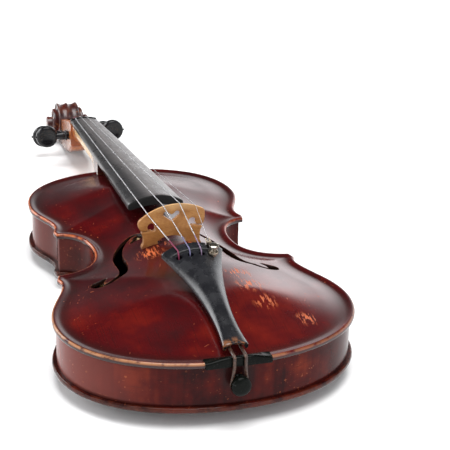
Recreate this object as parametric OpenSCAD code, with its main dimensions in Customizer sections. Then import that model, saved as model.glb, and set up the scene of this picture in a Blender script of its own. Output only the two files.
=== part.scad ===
// Full-size violin, resting on its back.  Units are millimetres, +Z is up, +Y runs
// from the tail to the scroll, and the treble side is +X.

/* [Body] */
// Length of the body without the button
body_l = 356; // [350:1:360]
// Width across the lower bouts
lower_w = 208; // [204:1:210]
// Width across the waist
waist_w = 106; // [104:1:110]
// Width across the upper bouts
upper_w = 170; // [166:1:172]
// Height of the ribs between the plates
rib_h = 28; // [28:0.5:29]
// Thickness of the ribs
rib_t = 1.1; // [1:0.1:1.5]
// How far the plates stand out past the ribs
overhang = 3; // [2.5:0.5:3.5]
// Thickness of both plates at their edge
edge_t = 4; // [3.8:0.1:4.2]
// Thickness of the arched part of both plates
plate_t = 3; // [2.8:0.1:3.2]
// Height of the top's arch above its edge
top_rise = 12; // [11.5:0.5:12]
// Height of the back's arch above its edge
back_rise = 11; // [11:0.5:11.5]

/* [Neck and fingerboard] */
// Distance from the bridge to the nut along the body
stop_l = 318; // [316:1:327]
// Place of the bridge, from the tail end
bridge_y = 168; // [159:1:169]
// Length of the fingerboard
board_l = 273; // [268:1:275]
// Width of the fingerboard at the nut
board_w_nut = 24; // [23.5:0.5:24.5]
// Width of the fingerboard at its free end
board_w_end = 43; // [42:0.5:44]
// Cross radius of the fingerboard and the bridge
cross_r = 42; // [40:1:44]
// Thickness of the neck's wood behind the nut
neck_t = 13; // [13:0.5:15]
// Radius of the scroll's outer turn
scroll_r = 20.4; // [20:0.1:20.8]
// Width of the scroll over its two eyes
scroll_w = 41; // [39:1:42]

/* [Fittings] */
// Height of the bridge above the top of the arch
bridge_h = 28.5; // [27.5:0.5:33]
// Spread of the strings at the bridge
spread_bridge = 36; // [33:1:36]
// Spread of the strings at the nut
spread_nut = 16.5; // [16:0.5:17]
// Width of the tailpiece at the strings
tail_w = 44; // [41:1:45]
// Width of the tailpiece at the saddle
tail_w_end = 17; // [16:1:18]
// Diameter of the peg shafts
peg_d = 7.4; // [7:0.1:7.6]
// Diameter of the peg heads
peg_head_d = 21; // [20:1:24]
// Travel of the fine tuner's screw
tuner_travel = 2; // [1.5:0.5:2]

/* [Hidden] */
$fn = 48;

// Levels above the resting plane
rib_z0 = back_rise + edge_t;
rib_z1 = rib_z0 + rib_h;
top_z = rib_z1 + edge_t;
apex_z = top_z + top_rise;
nut_y = bridge_y + stop_l;
scroll_y = nut_y + 86;
button_z = rib_z0 + rib_h / 2 + 2.5;
button_end = -8;
mid_y = (scroll_y + scroll_r * 0.977 + button_end) / 2;

// Half outline of the plates, from the tail end to the neck end, as Bezier arcs
lw = lower_w / 2;
ww = waist_w / 2;
uw = upper_w / 2;
low_tip = [lw - 15.5, 146];
up_tip = [uw - 11, 226];
ARCS = [
  [[0, 0], [lw - 41, 0], [lw, 33], [lw, 78], 14],
  [[lw, 78], [lw, 110], [lw - 23, 130], low_tip, 8],
  [low_tip, low_tip + [-0.5, 2], low_tip + [-1.3, 5], low_tip + [-2, 7], 2],
  [low_tip + [-2, 7], [ww + 14, 156], [ww, 167], [ww, 192], 7],
  [[ww, 192], [ww, 212], [ww + 8, 225], up_tip, 7],
  [up_tip, up_tip + [1, 2], up_tip + [1.5, 5], up_tip + [1.5, 7], 2],
  [up_tip + [1.5, 7], [uw - 18, 250], [uw, 263], [uw, body_l - 70], 7],
  [[uw, body_l - 70], [uw, body_l - 23], [uw - 40, body_l], [0, body_l], 14],
];
function bez(p, t) =
  (1 - t) ^ 3 * p[0] + 3 * (1 - t) ^ 2 * t * p[1] + 3 * (1 - t) * t ^ 2 * p[2] + t ^ 3 * p[3];
half = [for (a = ARCS) for (k = [0:a[4] - 1]) bez(a, k / a[4]), [0, body_l]];
last = len(half) - 1;
outline = concat(half, [for (k = [last - 1:-1:1]) [-half[k][0], half[k][1]]]);

// Arching: full height at reach() from the edge, flat for the first rim_w
rim_w = 4;
function ease(t) = let (c = max(0, min(1, t))) c * c * (3 - 2 * c);
function seg_dist(p, a, b) =
  let (u = b - a, t = max(0, min(1, (p - a) * u / (u * u)))) norm(p - a - t * u);
function from_edge(x, y) =
  min([for (k = [0:last - 1]) seg_dist([abs(x), y], half[k], half[k + 1])]);
function reach(y) = 52 + 30 * ease(abs(y - 185) / 110);
function swell(d, y) = sin(90 * max(0, min(1, (d - rim_w) / (reach(y) - rim_w)))) ^ 2;
function top_out(x, y) = top_z + top_rise * swell(from_edge(x, y), y);
function top_in(x, y) =
  let (d = from_edge(x, y))
  rib_z1 + (edge_t - plate_t + top_rise * swell(d, y)) * ease((d - 8) / 14);
function back_out(x, y) = back_rise * (1 - swell(from_edge(x, y), y));
function back_in(x, y) =
  let (d = from_edge(x, y))
  rib_z0 - (edge_t - plate_t + back_rise * swell(d, y)) * ease((d - 8) / 14);

// Sections of a plate at the outline's own points, each ACROSS steps wide
ACROSS = 16;
rows = [for (k = [0:last])
  k == 0 ? [1.5, 0] : k == last ? [1.5, body_l] : half[k]];
function row_x(r, j) = r[0] * sin(90 * (2 * j / ACROSS - 1));

// Neck and fingerboard, seen from the side
lift = 0.0762;
function neck_top(y) = top_z - 0.8 + lift * (nut_y - y);
function board_top(y) = top_z + 5 + 0.0934 * (nut_y - y);
board_y0 = nut_y - board_l;
function board_half(y) =
  (board_w_nut + (board_w_end - board_w_nut) * (nut_y - y) / board_l) / 2;
function drop(x) = cross_r - sqrt(cross_r ^ 2 - x ^ 2);
crown_x = 4;
function crown(x) = bridge_z - drop(x - crown_x);

// Peg places: [side, distance behind the nut, height, outer half-width of the pegbox]
function cheek(y) = 13 - 3.8 * (y - nut_y) / 74;
PEG_G = [-1, nut_y + 14, 31];
PEG_D = [-1, nut_y + 45, 21];
PEG_A = [1, nut_y + 57, 18];
PEG_E = [1, nut_y + 23, 30];

// Strings: thickness, then how far across the winding sits on its peg
GAUGE = [0.8, 0.7, 0.65, 0.3];
WIND_X = [-4.5, -2.5, 2.5, 4.5];
PEGS = [PEG_G, PEG_D, PEG_A, PEG_E];
function bridge_x(i) = spread_bridge * (i / 3 - 0.5);
function nut_x(i) = spread_nut * (i / 3 - 0.5);
bridge_z = apex_z + bridge_h;

// Tailpiece: a slope from the saddle up to the strings
tail_y0 = 9;
tail_l = 106;
tail_z0 = apex_z - 8.6;
tail_tilt = 11;
tail_h = 8.5;
tail_rim = 3.2;
waist_v = 20;
waist_half = 7.1;
function tail_half(v) = v > waist_v
  ? waist_half + (tail_w / 2 - waist_half) * ((v - waist_v) / (tail_l - waist_v)) ^ 1.85
  : waist_half + (tail_w_end / 2 - waist_half) * ((waist_v - v) / waist_v) ^ 2;
hole_v = tail_l - 10.5;
function tail_crest(v) = tail_h - 3 * (1 - ease(v / 60));
function tail_roof(x, v = hole_v) =
  tail_rim + (tail_crest(v) - tail_rim) * (1 - min(1, abs(x) / tail_half(v)) ^ 2.2) ^ 0.8;
hole_x = [-12, -4, 4, 12];
fret_r = 62;

// Home of every node: the middle of the length sits over the origin
module home() translate([0, -mid_y, 0]) children();

// Tube through a list of points
function side_dirs(p) = [for (i = [0:len(p) - 1])
  let (d = p[min(i + 1, len(p) - 1)] - p[max(i - 1, 0)]) d / norm(d)];
module tube(p, d, sides = 8) {
  dirs = side_dirs(p);
  ring = [for (i = [0:len(p) - 1])
    let (t = dirs[i], u = cross(t, abs(t[0]) < 0.8 ? [1, 0, 0] : [0, 1, 0]),
         a = u / norm(u), b = cross(t, a))
    for (k = [0:sides - 1]) p[i] + d / 2 * (cos(360 * k / sides) * a + sin(360 * k / sides) * b)];
  n = len(p);
  polyhedron(ring, concat(
    [[for (k = [0:sides - 1]) k]],
    [[for (k = [sides - 1:-1:0]) (n - 1) * sides + k]],
    [for (i = [0:n - 2]) for (k = [0:sides - 1])
      let (q = (k + 1) % sides)
      [i * sides + k, (i + 1) * sides + k, (i + 1) * sides + q, i * sides + q]]));
}

// Solid through sections that all hold the same number of points, in order
module loft(sections) {
  m = len(sections[0]);
  n = len(sections);
  polyhedron([for (s = sections) each s], concat(
    [[for (k = [0:m - 1]) k]],
    [[for (k = [m - 1:-1:0]) (n - 1) * m + k]],
    [for (i = [0:n - 2]) for (k = [0:m - 1])
      let (q = (k + 1) % m, a = i * m + k, b = i * m + q, c = a + m, d = b + m)
      each [[a, c, b], [b, c, d]]]));
}

// ---------------------------------------------------------------- body
module plate(is_top) {
  loft([for (r = rows) [
    for (j = [0:ACROSS]) let (x = row_x(r, j))
      [x, r[1], is_top ? top_out(x, r[1]) : back_in(x, r[1])],
    for (j = [ACROSS:-1:0]) let (x = row_x(r, j))
      [x, r[1], is_top ? top_in(x, r[1]) : back_out(x, r[1])]
  ]]);
}

// One f-hole on the treble side: a chain of discs, then the two eyes
F_STEM = [
  [17.4, 190.6, 1.2], [19.5, 193.6, 1.2], [24, 194.2, 1.4], [29, 190.8, 1.8], [33.8, 185, 2.3],
  [37.6, 177, 2.9], [40, 167.5, 3.4], [40.6, 157, 3.7], [41.2, 147, 3.5],
  [42.4, 138.5, 3], [45, 131.6, 2.3], [49, 126.4, 1.7], [54, 122.8, 1.3],
  [59.5, 120.6, 1], [64, 120.3, 0.8]
];
module f_hole() {
  for (k = [0:len(F_STEM) - 2]) hull() for (p = [F_STEM[k], F_STEM[k + 1]])
    translate([p[0], p[1], rib_z1 - 1]) cylinder(r = p[2], h = 2 * top_rise, $fn = 14);
  translate([20.2, 188.4, rib_z1 - 1]) cylinder(r = 3.4, h = 2 * top_rise, $fn = 20);
  translate([64.3, 124.2, rib_z1 - 1]) cylinder(r = 4.4, h = 2 * top_rise, $fn = 24);
  for (s = [-1, 1]) translate([40.6 + s * 3, 157, rib_z1 - 1])
    cylinder(r = 1.6, h = 2 * top_rise, $fn = 4);
}

saddle_w = 44;
saddle_d = 7.5;
module top_plate() color("#7a2416") home() difference() {
  plate(true);
  f_hole();
  mirror([1, 0, 0]) f_hole();
  translate([-saddle_w / 2 - 0.1, -5, rib_z1 - 5]) cube([saddle_w + 0.2, saddle_d + 5.1, 20]);
  translate([-16.6, body_l - 7, rib_z1 - 5]) cube([33.2, 20, 30]);
}

// The button that the neck's heel stands on: bars of growing, then shrinking width
button_r = 11;
module back_button() for (k = [0:8]) hull() for (m = [k, k + 1]) let (a = 90 * m / 9)
  translate([-button_r * cos(a), body_l - 2 + button_r * sin(a), back_rise])
    cube([2 * button_r * cos(a) + 0.01, 0.01, edge_t]);
module back_plate() color("#7a2a1a") home() union() {
  plate(false);
  back_button();
}

module outline_in(d) offset(delta = -d) polygon(outline);
module rib_ring() difference() {
  outline_in(overhang);
  outline_in(overhang + rib_t);
}
// Area of the treble waist rib, split from its neighbours through both corner tips
module waist_area() polygon([[92, 218.3], [45, 250], [45, 126.7], [103.7, 158]]);
module rib_solid() translate([0, 0, rib_z0]) linear_extrude(rib_h) children();
neck_slot = 16.6;
module upper_rib(side) rib_solid() scale([side, 1]) difference() {
  intersection() {
    rib_ring();
    translate([neck_slot, 185]) square([120, 200]);
  }
  waist_area();
}
module waist_rib(side) rib_solid() scale([side, 1]) intersection() {
  rib_ring();
  waist_area();
}
module lower_rib(side) difference() {
  rib_solid() scale([side, 1]) difference() {
    intersection() {
      rib_ring();
      translate([0, -5]) square([120, 190]);
    }
    waist_area();
  }
  translate([0, -5, button_z]) rotate([-90, 0, 0]) cylinder(d = 7.6, h = 20);
}
module upper_rib_bass() color("#7c2d1c") home() upper_rib(-1);
module upper_rib_treble() color("#7c2d1c") home() upper_rib(1);
module waist_rib_bass() color("#8a3420") home() waist_rib(-1);
module waist_rib_treble() color("#8a3420") home() waist_rib(1);
module lower_rib_bass() color("#7c2d1c") home() lower_rib(-1);
module lower_rib_treble() color("#7c2d1c") home() lower_rib(1);

// Blocks and linings fill the inside of the rib ring
inner = overhang + rib_t;
block_r = 23;
corner_at = [[lw - 16, 149.5], [uw - 10, 229.5]];
module corner_discs(grow = 0)
  for (s = [-1, 1]) for (c = corner_at) translate([s * c[0], c[1]]) circle(r = block_r + grow);
module end_areas(grow = 0) {
  translate([-26 - grow, -2]) square([52 + 2 * grow, 22 + grow]);
  translate([-27 - grow, body_l - 20 - grow]) square([54 + 2 * grow, 30]);
}
module corner_blocks() color("#c9a66b") home() rib_solid() intersection() {
  outline_in(inner);
  corner_discs();
}
module lower_block() color("#c9a66b") home() difference() {
  rib_solid() intersection() {
    outline_in(inner);
    translate([-26, -2]) square([52, 22]);
  }
  translate([0, -5, button_z]) rotate([-90, 0, 0]) cylinder(d = 7.6, h = 40);
}
module upper_block() color("#c9a66b") home() difference() {
  rib_solid() intersection() {
    outline_in(inner);
    translate([-27, body_l - 20]) square([54, 30]);
  }
  translate([-neck_slot, body_l - 7, rib_z0 - 1]) cube([2 * neck_slot, 20, rib_h + 2]);
}
lining_t = 2;
lining_h = 7;
module lining_strips() linear_extrude(lining_h) difference() {
  outline_in(inner);
  outline_in(inner + lining_t);
  corner_discs(0.1);
  end_areas(0.1);
}
module linings_top() color("#d2b27c") home() translate([0, 0, rib_z1 - lining_h]) lining_strips();
module linings_back() color("#d2b27c") home() translate([0, 0, rib_z0]) lining_strips();

// The bar runs under the bass foot of the bridge; its upper face follows the top
bar_x = -17;
bar_y0 = 58;
bar_y1 = 302;
module bass_bar() color("#dcc392") home() loft([for (k = [0:16])
  let (t = k / 16, y = bar_y0 + (bar_y1 - bar_y0) * t, h = 3 + 8 * sin(180 * t),
       z = min(top_in(bar_x - 2.5, y), top_in(bar_x + 2.5, y)) - 0.3)
  [[bar_x - 2.5, y, z - h], [bar_x - 2.5, y, z], [bar_x + 2.5, y, z], [bar_x + 2.5, y, z - h]]]);

post_x = 19;
post_y = bridge_y - 15;
module sound_post() color("#dcc392") home() {
  z0 = back_in(post_x + 3, post_y) + 0.3;
  translate([post_x, post_y, z0]) cylinder(d = 6, h = top_in(post_x + 3, post_y) - 0.3 - z0);
}

// ---------------------------------------------------------------- neck
// Depth of the neck below the fingerboard: heel, shaft, then the swell to the pegbox
function neck_depth(y) =
  let (heel = neck_top(y) - rib_z0, run = neck_t + 2 * (nut_y - y) / stop_l)
  y < body_l + 2 ? heel :
  y < body_l + 32 ? run + (heel - run) * (1 - ease((y - body_l - 2) / 30)) :
  run + 8 * ease((y - nut_y + 22) / 26);
function neck_half(y) = y < body_l ? 16 : 16 - 4 * (y - body_l) / (nut_y - body_l);
NECK_Y = [body_l - 6, body_l + 2, body_l + 7, body_l + 12, body_l + 17, body_l + 22,
  body_l + 27, body_l + 33, 410, 440, nut_y - 22, nut_y - 15, nut_y - 8, nut_y, nut_y + 5];
module neck_shaft() loft([for (y = NECK_Y)
  let (w = neck_half(y), h = neck_depth(y), z = neck_top(y))
  [for (a = [0:15:180])
    [w * sign(cos(a)) * abs(cos(a)) ^ 0.75, y, z - h * sin(a) ^ 0.8]]]);

// Pegbox: side outline cut by a tapered plan, then hollowed from above
module pegbox() {
  p_top = [[nut_y + 5.5, neck_top(nut_y) - 0.4], [nut_y + 30, 42], [nut_y + 48, 34],
    [nut_y + 71, 29]];
  p_low = [[nut_y - 2, neck_top(nut_y) - 21], [nut_y + 14, 8], [nut_y + 56, 2.5],
    [scroll_y, 0.1]];
  f_low = [[nut_y + 7, 40], [nut_y + 7, 10], [nut_y + 39, 11], [nut_y + 68, 12.5]];
  side = concat([[nut_y - 2, neck_top(nut_y + 5.5)]], [for (t = [0:0.125:1]) bez(p_top, t)],
    [[scroll_y - 6, 20], [scroll_y, 6]], [for (t = [1:-0.125:0]) bez(p_low, t)]);
  well = concat([[nut_y + 7, 60]], [for (t = [0:0.125:1]) bez(f_low, t)],
    [[nut_y + 69, 60]]);
  module across(w) rotate([90, 0, 90]) translate([0, 0, -w]) linear_extrude(2 * w) children();
  module plan(t) translate([0, 0, -1]) linear_extrude(70)
    polygon([for (p = [[-1, -4], [1, -4], [1, 90], [-1, 90]])
      [p[0] * (cheek(nut_y + p[1]) - t), nut_y + p[1]]]);
  difference() {
    intersection() {
      across(20) polygon(side);
      plan(0);
    }
    intersection() {
      across(20) polygon(well);
      plan(4.7);
    }
  }
}

// Scroll: a strip that winds inwards while it grows wider, once on each side
TURN = 24;
STEPS = 60;
function scroll_rad(i) = scroll_r - (scroll_r - 6) * (i / STEPS) ^ 1.5;
function scroll_half(i) = 9 + (scroll_w / 2 - 9) * (i / STEPS) ^ 1.5;
function scroll_pt(i, r, x) =
  let (a = 360 * i / TURN - 90) [x, scroll_y + r * cos(a), scroll_r + r * sin(a)];
module scroll() {
  inner_n = STEPS - TURN;
  pts = concat(
    [for (i = [0:STEPS]) for (s = [-1, 1]) scroll_pt(i, scroll_rad(i), s * scroll_half(i))],
    [for (i = [0:inner_n]) for (s = [-1, 1])
      scroll_pt(i, scroll_rad(i + TURN), s * scroll_half(i))],
    [for (s = [-1, 1]) [s * scroll_half(STEPS), scroll_y, scroll_r]]);
  // Point numbers: A on the outer turn, B at the foot of the next turn's wall, E the eye
  function A(i, s) = 2 * i + s;
  function B(i, s) = 2 * (STEPS + 1 + i) + s;
  function E(s) = 2 * (STEPS + 1 + inner_n + 1) + s;
  function both(f) = [[for (k = f) k[0]], [for (k = [len(f) - 1:-1:0]) f[k][1]]];
  fa = function (i) [A(i, 1), A(i, 0)];
  fb = function (i) [B(i, 1), B(i, 0)];
  fe = [E(1), E(0)];
  polyhedron(pts, concat(
    [for (i = [0:TURN - 2]) [A(i, 0), A(i, 1), A(i + 1, 1), A(i + 1, 0)]],
    [[A(TURN - 1, 0), A(TURN - 1, 1), A(TURN, 1), B(0, 1), B(0, 0), A(TURN, 0)]],
    [[A(0, 1), A(0, 0), B(0, 0), B(0, 1)]],
    [for (i = [TURN:STEPS - 1]) each concat(
      both([fb(i - TURN), fa(i), fa(i + 1)]),
      both([fb(i - TURN), fa(i + 1), fb(i + 1 - TURN)]))],
    [for (i = [0:inner_n - 1]) each concat(
      both([fa(i), fb(i), fb(i + 1)]), both([fa(i), fb(i + 1), fa(i + 1)]))],
    [for (i = [inner_n:STEPS - 1]) each both([fa(i), fe, fa(i + 1)])],
    both([fa(STEPS), fe, fb(inner_n)]),
    both([fb(inner_n), fe, fa(inner_n)])));
}

module neck() color("#8a3a1c") home() difference() {
  union() {
    neck_shaft();
    pegbox();
    scroll();
  }
  for (p = PEGS) translate([-30, p[1], p[2]]) rotate([0, 90, 0]) cylinder(d = peg_d + 0.1, h = 60);
}

// Fingerboard: a long cylinder's top cut to a tapered plan, over a flat glued underside
board_tilt = atan(0.0934);
module board_axis(r, low) translate([0, nut_y, board_top(nut_y) - low])
  rotate([90 - board_tilt, 0, 0]) cylinder(r = r, h = 3 * board_l, center = true, $fn = 96);
module fingerboard() color("#1b1a1c") home() difference() {
  intersection() {
    translate([0, 0, 40]) linear_extrude(60) polygon([
      [-board_half(nut_y), nut_y], [board_half(nut_y), nut_y],
      [board_half(board_y0), board_y0], [-board_half(board_y0), board_y0]]);
    rotate([90, 0, 90]) translate([0, 0, -30]) linear_extrude(60) polygon([
      [board_y0, neck_top(board_y0)], [nut_y, neck_top(nut_y)], [nut_y, 100], [board_y0, 100]]);
    board_axis(cross_r, cross_r);
  }
  translate([0, body_l - 16, 20]) rotate([90 - board_tilt * 0.8, 0, 0])
    cylinder(r = 40, h = 200, $fn = 96);
}

nut_d = 5.5;
nut_lift = 0.7;
module nut() color("#18171a") home() translate([0, nut_y + nut_d, 0]) rotate([90, 0, 0])
  linear_extrude(nut_d) difference() {
    polygon(concat(
      [[board_w_nut / 2, neck_top(nut_y)], [-board_w_nut / 2, neck_top(nut_y)]],
      [for (k = [-6:6]) let (x = board_w_nut * k / 12)
        [x, board_top(nut_y) + nut_lift - drop(x)]]));
    for (i = [0:3]) translate([nut_x(i), string_nut_z(i)]) circle(d = GAUGE[i] + 0.1);
  }
function string_nut_z(i) = board_top(nut_y) + nut_lift - drop(nut_x(i)) + GAUGE[i] / 4;

// ---------------------------------------------------------------- fittings
saddle_top = top_z + 2.4;
module saddle() color("#151416") home() difference() {
  translate([0, saddle_d, 0]) rotate([90, 0, 0]) linear_extrude(saddle_d) polygon([
    [-saddle_w / 2, rib_z1], [saddle_w / 2, rib_z1], [saddle_w / 2, top_z + 0.2],
    [saddle_w / 3, saddle_top - 0.8], [9, saddle_top], [-9, saddle_top],
    [-saddle_w / 3, saddle_top - 0.8], [-saddle_w / 2, top_z + 0.2]]);
  translate([-30, saddle_d, rib_z1]) rotate([0, 90, 0]) linear_extrude(60)
    polygon([[-8, 1], [-8, -5], [-saddle_top + rib_z1 + 0.6, -4], [-4.2, 1]]);
}

// Bridge, seen from the tail: outline with a heart, two kidneys and an arch; its crown
// stands a little to the treble side
foot_out = 22.4;
foot_in = 10.5;
function foot_z(x) = top_out(x, bridge_y) + 0.05;
bridge_t = 4.4;
module bridge_outline() {
  foot = [for (k = [0:4]) let (x = foot_in + (foot_out - foot_in) * k / 4) [x, foot_z(x)]];
  inner = [[0, 63.8], [5, 63.4], [9, 61.6], [foot_in + 0.6, foot_z(foot_in) + 2]];
  outer = [[foot_out, foot_z(foot_out) + 2], [21.6, 62.5], [22.6, 65.5], [22.6, 67.5], [24.4, 70.5]];
  wing = concat(inner, foot, outer);
  difference() {
    polygon(concat(wing, [[25, crown(25) - 2]], [for (k = [8:-1:-8]) [3 * k, crown(3 * k)]],
      [[-25, crown(-25) - 2]], [for (k = [len(wing) - 1:-1:1]) [-wing[k][0], wing[k][1]]]));
    for (s = [-1, 1]) {
      translate([s * 15.4, 73.2 + s]) circle(r = 2.9);
      translate([s * 13.6, 71.2 + s]) circle(r = 1.7);
      translate([s * 4.2, bridge_z - 7.2]) circle(r = 2.1);
    }
    polygon([[-6.1, bridge_z - 8], [-4.2, bridge_z - 7], [0, bridge_z - 8.2], [4.2, bridge_z - 7],
      [6.1, bridge_z - 8], [0, bridge_z - 13]]);
  }
}
module bridge() color("#b07a45") home() intersection() {
  translate([0, bridge_y + bridge_t / 2, 0]) rotate([90, 0, 0]) linear_extrude(bridge_t)
    bridge_outline();
  rotate([90, 0, 90]) translate([0, 0, -40]) linear_extrude(80) polygon([
    [bridge_y - bridge_t / 2, 40], [bridge_y + bridge_t / 2, 40],
    [bridge_y + 1.2, bridge_z + 2], [bridge_y - 0.4, bridge_z + 2],
    [bridge_y - bridge_t / 2, bridge_z - 17]]);
}

// Everything on the tailpiece lies in its own tilted frame: x, along it, above its underside
module on_tail() translate([0, tail_y0, tail_z0]) rotate([tail_tilt, 0, 0]) children();
function tail_pt(x, v, w) =
  [x, tail_y0 + v * cos(tail_tilt) - w * sin(tail_tilt),
   tail_z0 + v * sin(tail_tilt) + w * cos(tail_tilt)];
// Cross-sections of the tailpiece, arched on top
module tail_shell(lift = 0) loft([for (k = [0:17])
  let (v = tail_l * k / 16, h = tail_half(v))
  concat(
    [for (j = [0:14]) let (x = -h * cos(180 * j / 14)) [x, v, tail_roof(x, v) + lift]],
    [[h, v, lift], [-h, v, lift]])]);
notch_w = 4.6;
module tailpiece() color("#1a1a1d") home() on_tail() difference() {
  intersection() {
    tail_shell();
    translate([0, tail_l + 4 - fret_r, -1]) cylinder(r = fret_r, h = 20, $fn = 120);
  }
  translate([0, 5, -32]) rotate([90, 0, 0]) cylinder(r = 35, h = 20, center = true);
  for (i = [0:2]) {
    translate([hole_x[i], hole_v, -1]) cylinder(d = 4.4, h = 20);
    translate([hole_x[i] - 0.6, hole_v, -1]) cube([1.2, 4.6, 20]);
  }
  translate([hole_x[3], hole_v, -1]) cylinder(d = 4.6, h = 20);
  translate([hole_x[3] - notch_w / 2, hole_v + 6.9, -1]) cube([notch_w, 10, 20]);
  fret_bar(0.03);
}
module fret_bar(grow = 0) intersection() {
  translate([0, hole_v + 5.5 - fret_r, tail_rim - 1.2 - grow]) linear_extrude(20) intersection() {
    difference() {
      circle(r = fret_r + 0.7 + grow, $fn = 120);
      circle(r = fret_r - 0.7 - grow, $fn = 120);
    }
    translate([-17 - grow, 0]) square([34 + 2 * grow, 200]);
  }
  union() {
    tail_shell();
    tail_shell(1.1);
  }
}
module tailpiece_fret() color("#0e0e10") home() on_tail() fret_bar();

// Gut: from inside the tailpiece over the saddle and round the neck of the button
gut_d = 2.2;
gut_x = 3.8;
gut_route = concat(
  [[gut_x, 15, tail_z0 + 2.2], [gut_x, 10, tail_z0 + 1], [gut_x, 5.5, saddle_top + 1.6],
   [gut_x, 2, saddle_top + 1.4], [gut_x, -0.6, saddle_top + 0.8], [gut_x, -1.4, saddle_top - 0.6],
   [gut_x, -1.6, top_z - 4], [gut_x + 0.6, -1.4, button_z + 6]],
  [for (a = [10:-20:-190]) [5.1 * cos(a), -0.9, button_z + 5.1 * sin(a)]],
  [[-gut_x - 0.6, -1.4, button_z + 6], [-gut_x, -1.6, top_z - 4], [-gut_x, -1.4, saddle_top - 0.6],
   [-gut_x, -0.6, saddle_top + 0.8], [-gut_x, 2, saddle_top + 1.4],
   [-gut_x, 5.5, saddle_top + 1.6], [-gut_x, 10, tail_z0 + 1], [-gut_x, 15, tail_z0 + 2.2]]);
module tailgut() color("#2c1a12") home() tube(gut_route, gut_d);

module end_button() color("#161518") home() translate([0, 20, button_z]) rotate([90, 0, 0])
  rotate_extrude() polygon([[0, 0], [3.5, 0], [3.8, 2], [3.8, 20 - overhang], [4.9, 17],
    [4.9, 18], [3.9, 18.6], [3.9, 22.2], [5.6, 22.4], [6.6, 23.1], [6.6, 26.1], [5.8, 27.2],
    [3.8, 27.8], [1.2, 28], [0, 28]]);

// ---------------------------------------------------------------- pegs and strings
module peg(p) translate([0, p[1], p[2]]) scale([p[0], 1, 1]) {
  c = cheek(p[1]);
  rotate([0, 90, 0]) rotate_extrude() polygon([[0, -c - 0.6], [peg_d / 2, -c - 0.6],
    [peg_d / 2, c + 1.5], [4.8, c + 2], [4.8, c + 3.2], [4, c + 3.9], [4.3, c + 6], [3.4, c + 11],
    [3.1, c + 15], [0, c + 15]]);
  translate([c + 20.5, 0, 0]) rotate([90, 0, 0]) rotate_extrude() {
    r = peg_head_d / 2;
    polygon([[0, -3.4], [5, -4], [r - 2, -3.2], [r - 0.5, -1.8], [r, 0], [r - 0.5, 1.8],
      [r - 2, 3.2], [5, 4], [0, 3.4]]);
  }
  translate([c + 20.5 + peg_head_d / 2 - 0.7, 0, 0]) sphere(r = 1.2);
}
module peg_g() color("#17171a") home() peg(PEG_G);
module peg_d_string() color("#17171a") home() peg(PEG_D);
module peg_a() color("#17171a") home() peg(PEG_A);
module peg_e() color("#17171a") home() peg(PEG_E);

// Turns of string on a peg, five side by side
module winding(i) {
  p = PEGS[i];
  d = max(GAUGE[i], 0.5);
  translate([WIND_X[i], p[1], p[2]]) rotate([0, 90, 0]) rotate_extrude() polygon(concat(
    [for (k = [0:4]) each [[peg_d / 2 + 0.3 * d, (k - 2.5) * d],
      [peg_d / 2 + d, (k - 2.25) * d], [peg_d / 2 + d, (k - 1.75) * d]]],
    [[peg_d / 2 + 0.3 * d, 2.5 * d], [peg_d / 2, 2.5 * d], [peg_d / 2, -2.5 * d]]));
}
module winding_g() color("#b9bcc0") home() winding(0);
module winding_d() color("#b9bcc0") home() winding(1);
module winding_a() color("#b9bcc0") home() winding(2);
module winding_e() color("#b9bcc0") home() winding(3);

// Point where a string from the nut meets the upper side of its winding
function touch(i) =
  let (p = PEGS[i], n = [nut_y + nut_d, string_nut_z(i) - 0.6], c = [p[1], p[2]], v = c - n,
       r = peg_d / 2 + max(GAUGE[i], 0.5) + GAUGE[i] / 2 + 0.15, l = norm(v),
       a = atan2(v[1], v[0]) + asin(r / l), run = sqrt(l * l - r * r))
  [WIND_X[i], n[0] + run * cos(a), n[1] + run * sin(a)];
function top_of_bridge(i) =
  [bridge_x(i), bridge_y + 0.4, crown(bridge_x(i)) + GAUGE[i] / 2 + 0.05];
function string_path(i) = concat(
  i < 3 ? [tail_pt(hole_x[i], hole_v + 0.4, tail_roof(hole_x[i]) - 2.4),
           tail_pt(hole_x[i], hole_v + 2, tail_roof(hole_x[i]) + 0.6),
           tail_pt(hole_x[i], hole_v + 5.2, tail_roof(hole_x[i], hole_v + 5.5) + 1.3 + GAUGE[i] / 2)]
        : [tail_pt(hole_x[3], hole_v + 13.2, tail_roof(hole_x[3]) + 2.7)],
  [top_of_bridge(i) - [0, 0.9, 0.1], top_of_bridge(i) + [0, 0.5, 0],
   [nut_x(i), nut_y + 0.6, string_nut_z(i) + 0.05],
   [nut_x(i), nut_y + nut_d - 0.3, string_nut_z(i)], touch(i)]);
module string_node(i) tube(string_path(i), GAUGE[i], 6);
module string_g() color("#c3c5c9") home() string_node(0);
module string_d() color("#c3c5c9") home() string_node(1);
module string_a() color("#c3c5c9") home() string_node(2);
module string_e() color("#d5d7da") home() string_node(3);

// ---------------------------------------------------------------- fine tuner
// Its frame: origin on the tailpiece's surface over the hole of the E string
roof_e = tail_roof(hole_x[3]);
module at_tuner() on_tail() translate([hole_x[3], hole_v, roof_e]) children();
screw_d = 2.5;
tuner_nut_d = 7;
pin_v = 7;
pin_w = -roof_e - 3.6;
pin_d = 1.2;
module tuner_bracket() color("#b9a88a") home() at_tuner() difference() {
  union() {
    translate([0, 0, -roof_e - 1.4]) cylinder(d = 4.5, h = roof_e + 4.4);
    translate([-2.7, -4, -roof_e - 1.4]) cube([5.4, 12.3, 1.3]);
    for (s = [-1, 1]) translate([s * 2.4 - 0.3, pin_v - 1.3, pin_w - 1.3])
      cube([0.6, 2.6, 4.1]);
  }
  translate([0, 0, -20]) cylinder(d = screw_d + 0.1, h = 40);
  translate([-5, pin_v, pin_w]) rotate([0, 90, 0]) cylinder(d = pin_d, h = 10);
}
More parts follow.
